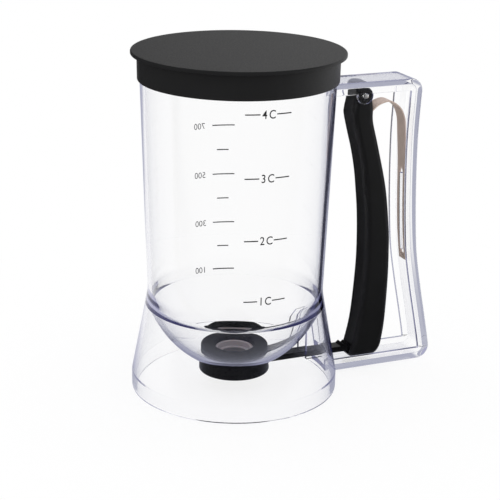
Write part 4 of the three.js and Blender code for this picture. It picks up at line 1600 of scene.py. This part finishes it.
class DISPENSER_OT_stage(bpy.types.Operator):
    """Set up the floor, the soft light and the camera"""

    bl_idname = "dispenser.stage"
    bl_label = "Stage"

    def execute(self, context):
        scene = context.scene
        studio, colours = scene.dispenser_studio, scene.dispenser_finishes
        rings = [(radius, 0) for radius in (*FLOOR_RINGS, studio.floor_radius)]
        grid = turned(rings, FLOOR_SIDES)
        index = np.arange(len(rings) * FLOOR_SIDES).reshape(len(rings), FLOOR_SIDES)
        faces = quads_between(index[1:], index[:-1]) + [index[0].tolist()]
        mesh = bpy.data.meshes.new("floor")
        mesh.from_pydata(grid.reshape(-1, 3).tolist(), [], faces)
        mesh.materials.append(floor_finish(colours, studio))
        floor = link_object("floor", mesh)
        floor.location.z = -FLOOR_DROP
        self.light(scene, studio)
        lens = bpy.data.cameras.new("camera")
        lens.lens, lens.sensor_width = studio.lens, SENSOR_WIDTH
        lens.clip_start, lens.clip_end = CLIP_START, CLIP_END
        camera = link_object("camera", lens)
        camera.matrix_world = camera_matrix(studio)
        scene.camera = camera
        scene.view_settings.view_transform = "Standard"
        return {"FINISHED"}

    def light(self, scene, studio):
        """A weak lamp above and a white world. Gloss on bare pieces sees a white lobe behind the
        object, a little to the right, in a dim room. Clear plastic sees white with a lavender
        quarter, and the dim room in front."""
        area_lamp("key", KEY_PLACE, KEY_TARGET, KEY_SIZE, studio.key_power)
        world = bpy.data.worlds.new("studio")
        scene.world = world
        world.use_nodes = True
        tree = world.node_tree
        tree.nodes.clear()
        ray = add(tree, "ShaderNodeTexCoord").outputs["Generated"]
        white = add(tree, "ShaderNodeBackground", Color=WHITE, Strength=1.0)
        room = add(tree, "ShaderNodeBackground", Color=studio.room, Strength=1.0)
        beside = add(tree, "ShaderNodeBackground", Color=studio.beside, Strength=1.0)
        lobe = towards(tree, ray, studio.bearing + studio.gloss_turn, LOBE_SPAN)
        gloss = add(tree, "ShaderNodeMixShader", inputs=(lobe, room, white))
        quarter = towards(tree, ray, studio.bearing + studio.right_turn, QUARTER_SPAN)
        clear = add(tree, "ShaderNodeMixShader", inputs=(quarter, white, beside))
        front = towards(tree, ray, studio.bearing + np.pi, FRONT_SPAN)
        shown = seen_by_path(tree, white, gloss, clear, room, white, front)
        add(tree, "ShaderNodeOutputWorld", Surface=shown)


class DISPENSER_PT_panel(bpy.types.Panel):
    """Lists the dispenser's pieces and its stage"""

    bl_label = "Batter dispenser"
    bl_idname = "DISPENSER_PT_panel"
    bl_space_type = "VIEW_3D"
    bl_region_type = "UI"
    bl_category = "Dispenser"

    def draw(self, context):
        for operator in OPERATORS:
            self.layout.operator(operator.bl_idname)
        for name in GROUPS:
            settings = getattr(context.scene, name)
            box = self.layout.box()
            box.label(text=type(settings).__name__)
            for key in type(settings).__annotations__:
                box.prop(settings, key)


OPERATORS = (
    DISPENSER_OT_container,
    DISPENSER_OT_lid,
    DISPENSER_OT_trigger,
    DISPENSER_OT_pin,
    DISPENSER_OT_spring,
    DISPENSER_OT_slide,
    DISPENSER_OT_cup,
    DISPENSER_OT_ring,
    DISPENSER_OT_marks,
    DISPENSER_OT_stage,
)


def register():
    """Registers the settings, the operators and the panel."""
    for group in GROUPS.values():
        bpy.utils.register_class(group)
    for name, group in GROUPS.items():
        setattr(bpy.types.Scene, name, PointerProperty(type=group))
    for operator in OPERATORS:
        bpy.utils.register_class(operator)
    bpy.utils.register_class(DISPENSER_PT_panel)


def unregister():
    """Takes away what register added, in the opposite order."""
    bpy.utils.unregister_class(DISPENSER_PT_panel)
    for operator in reversed(OPERATORS):
        bpy.utils.unregister_class(operator)
    for name, group in reversed(GROUPS.items()):
        delattr(bpy.types.Scene, name)
        bpy.utils.unregister_class(group)


def main():
    """Builds every piece and the stage."""
    register()
    for operator in OPERATORS:
        group, name = operator.bl_idname.split(".")
        getattr(getattr(bpy.ops, group), name)()


if __name__ == "__main__":
    main()
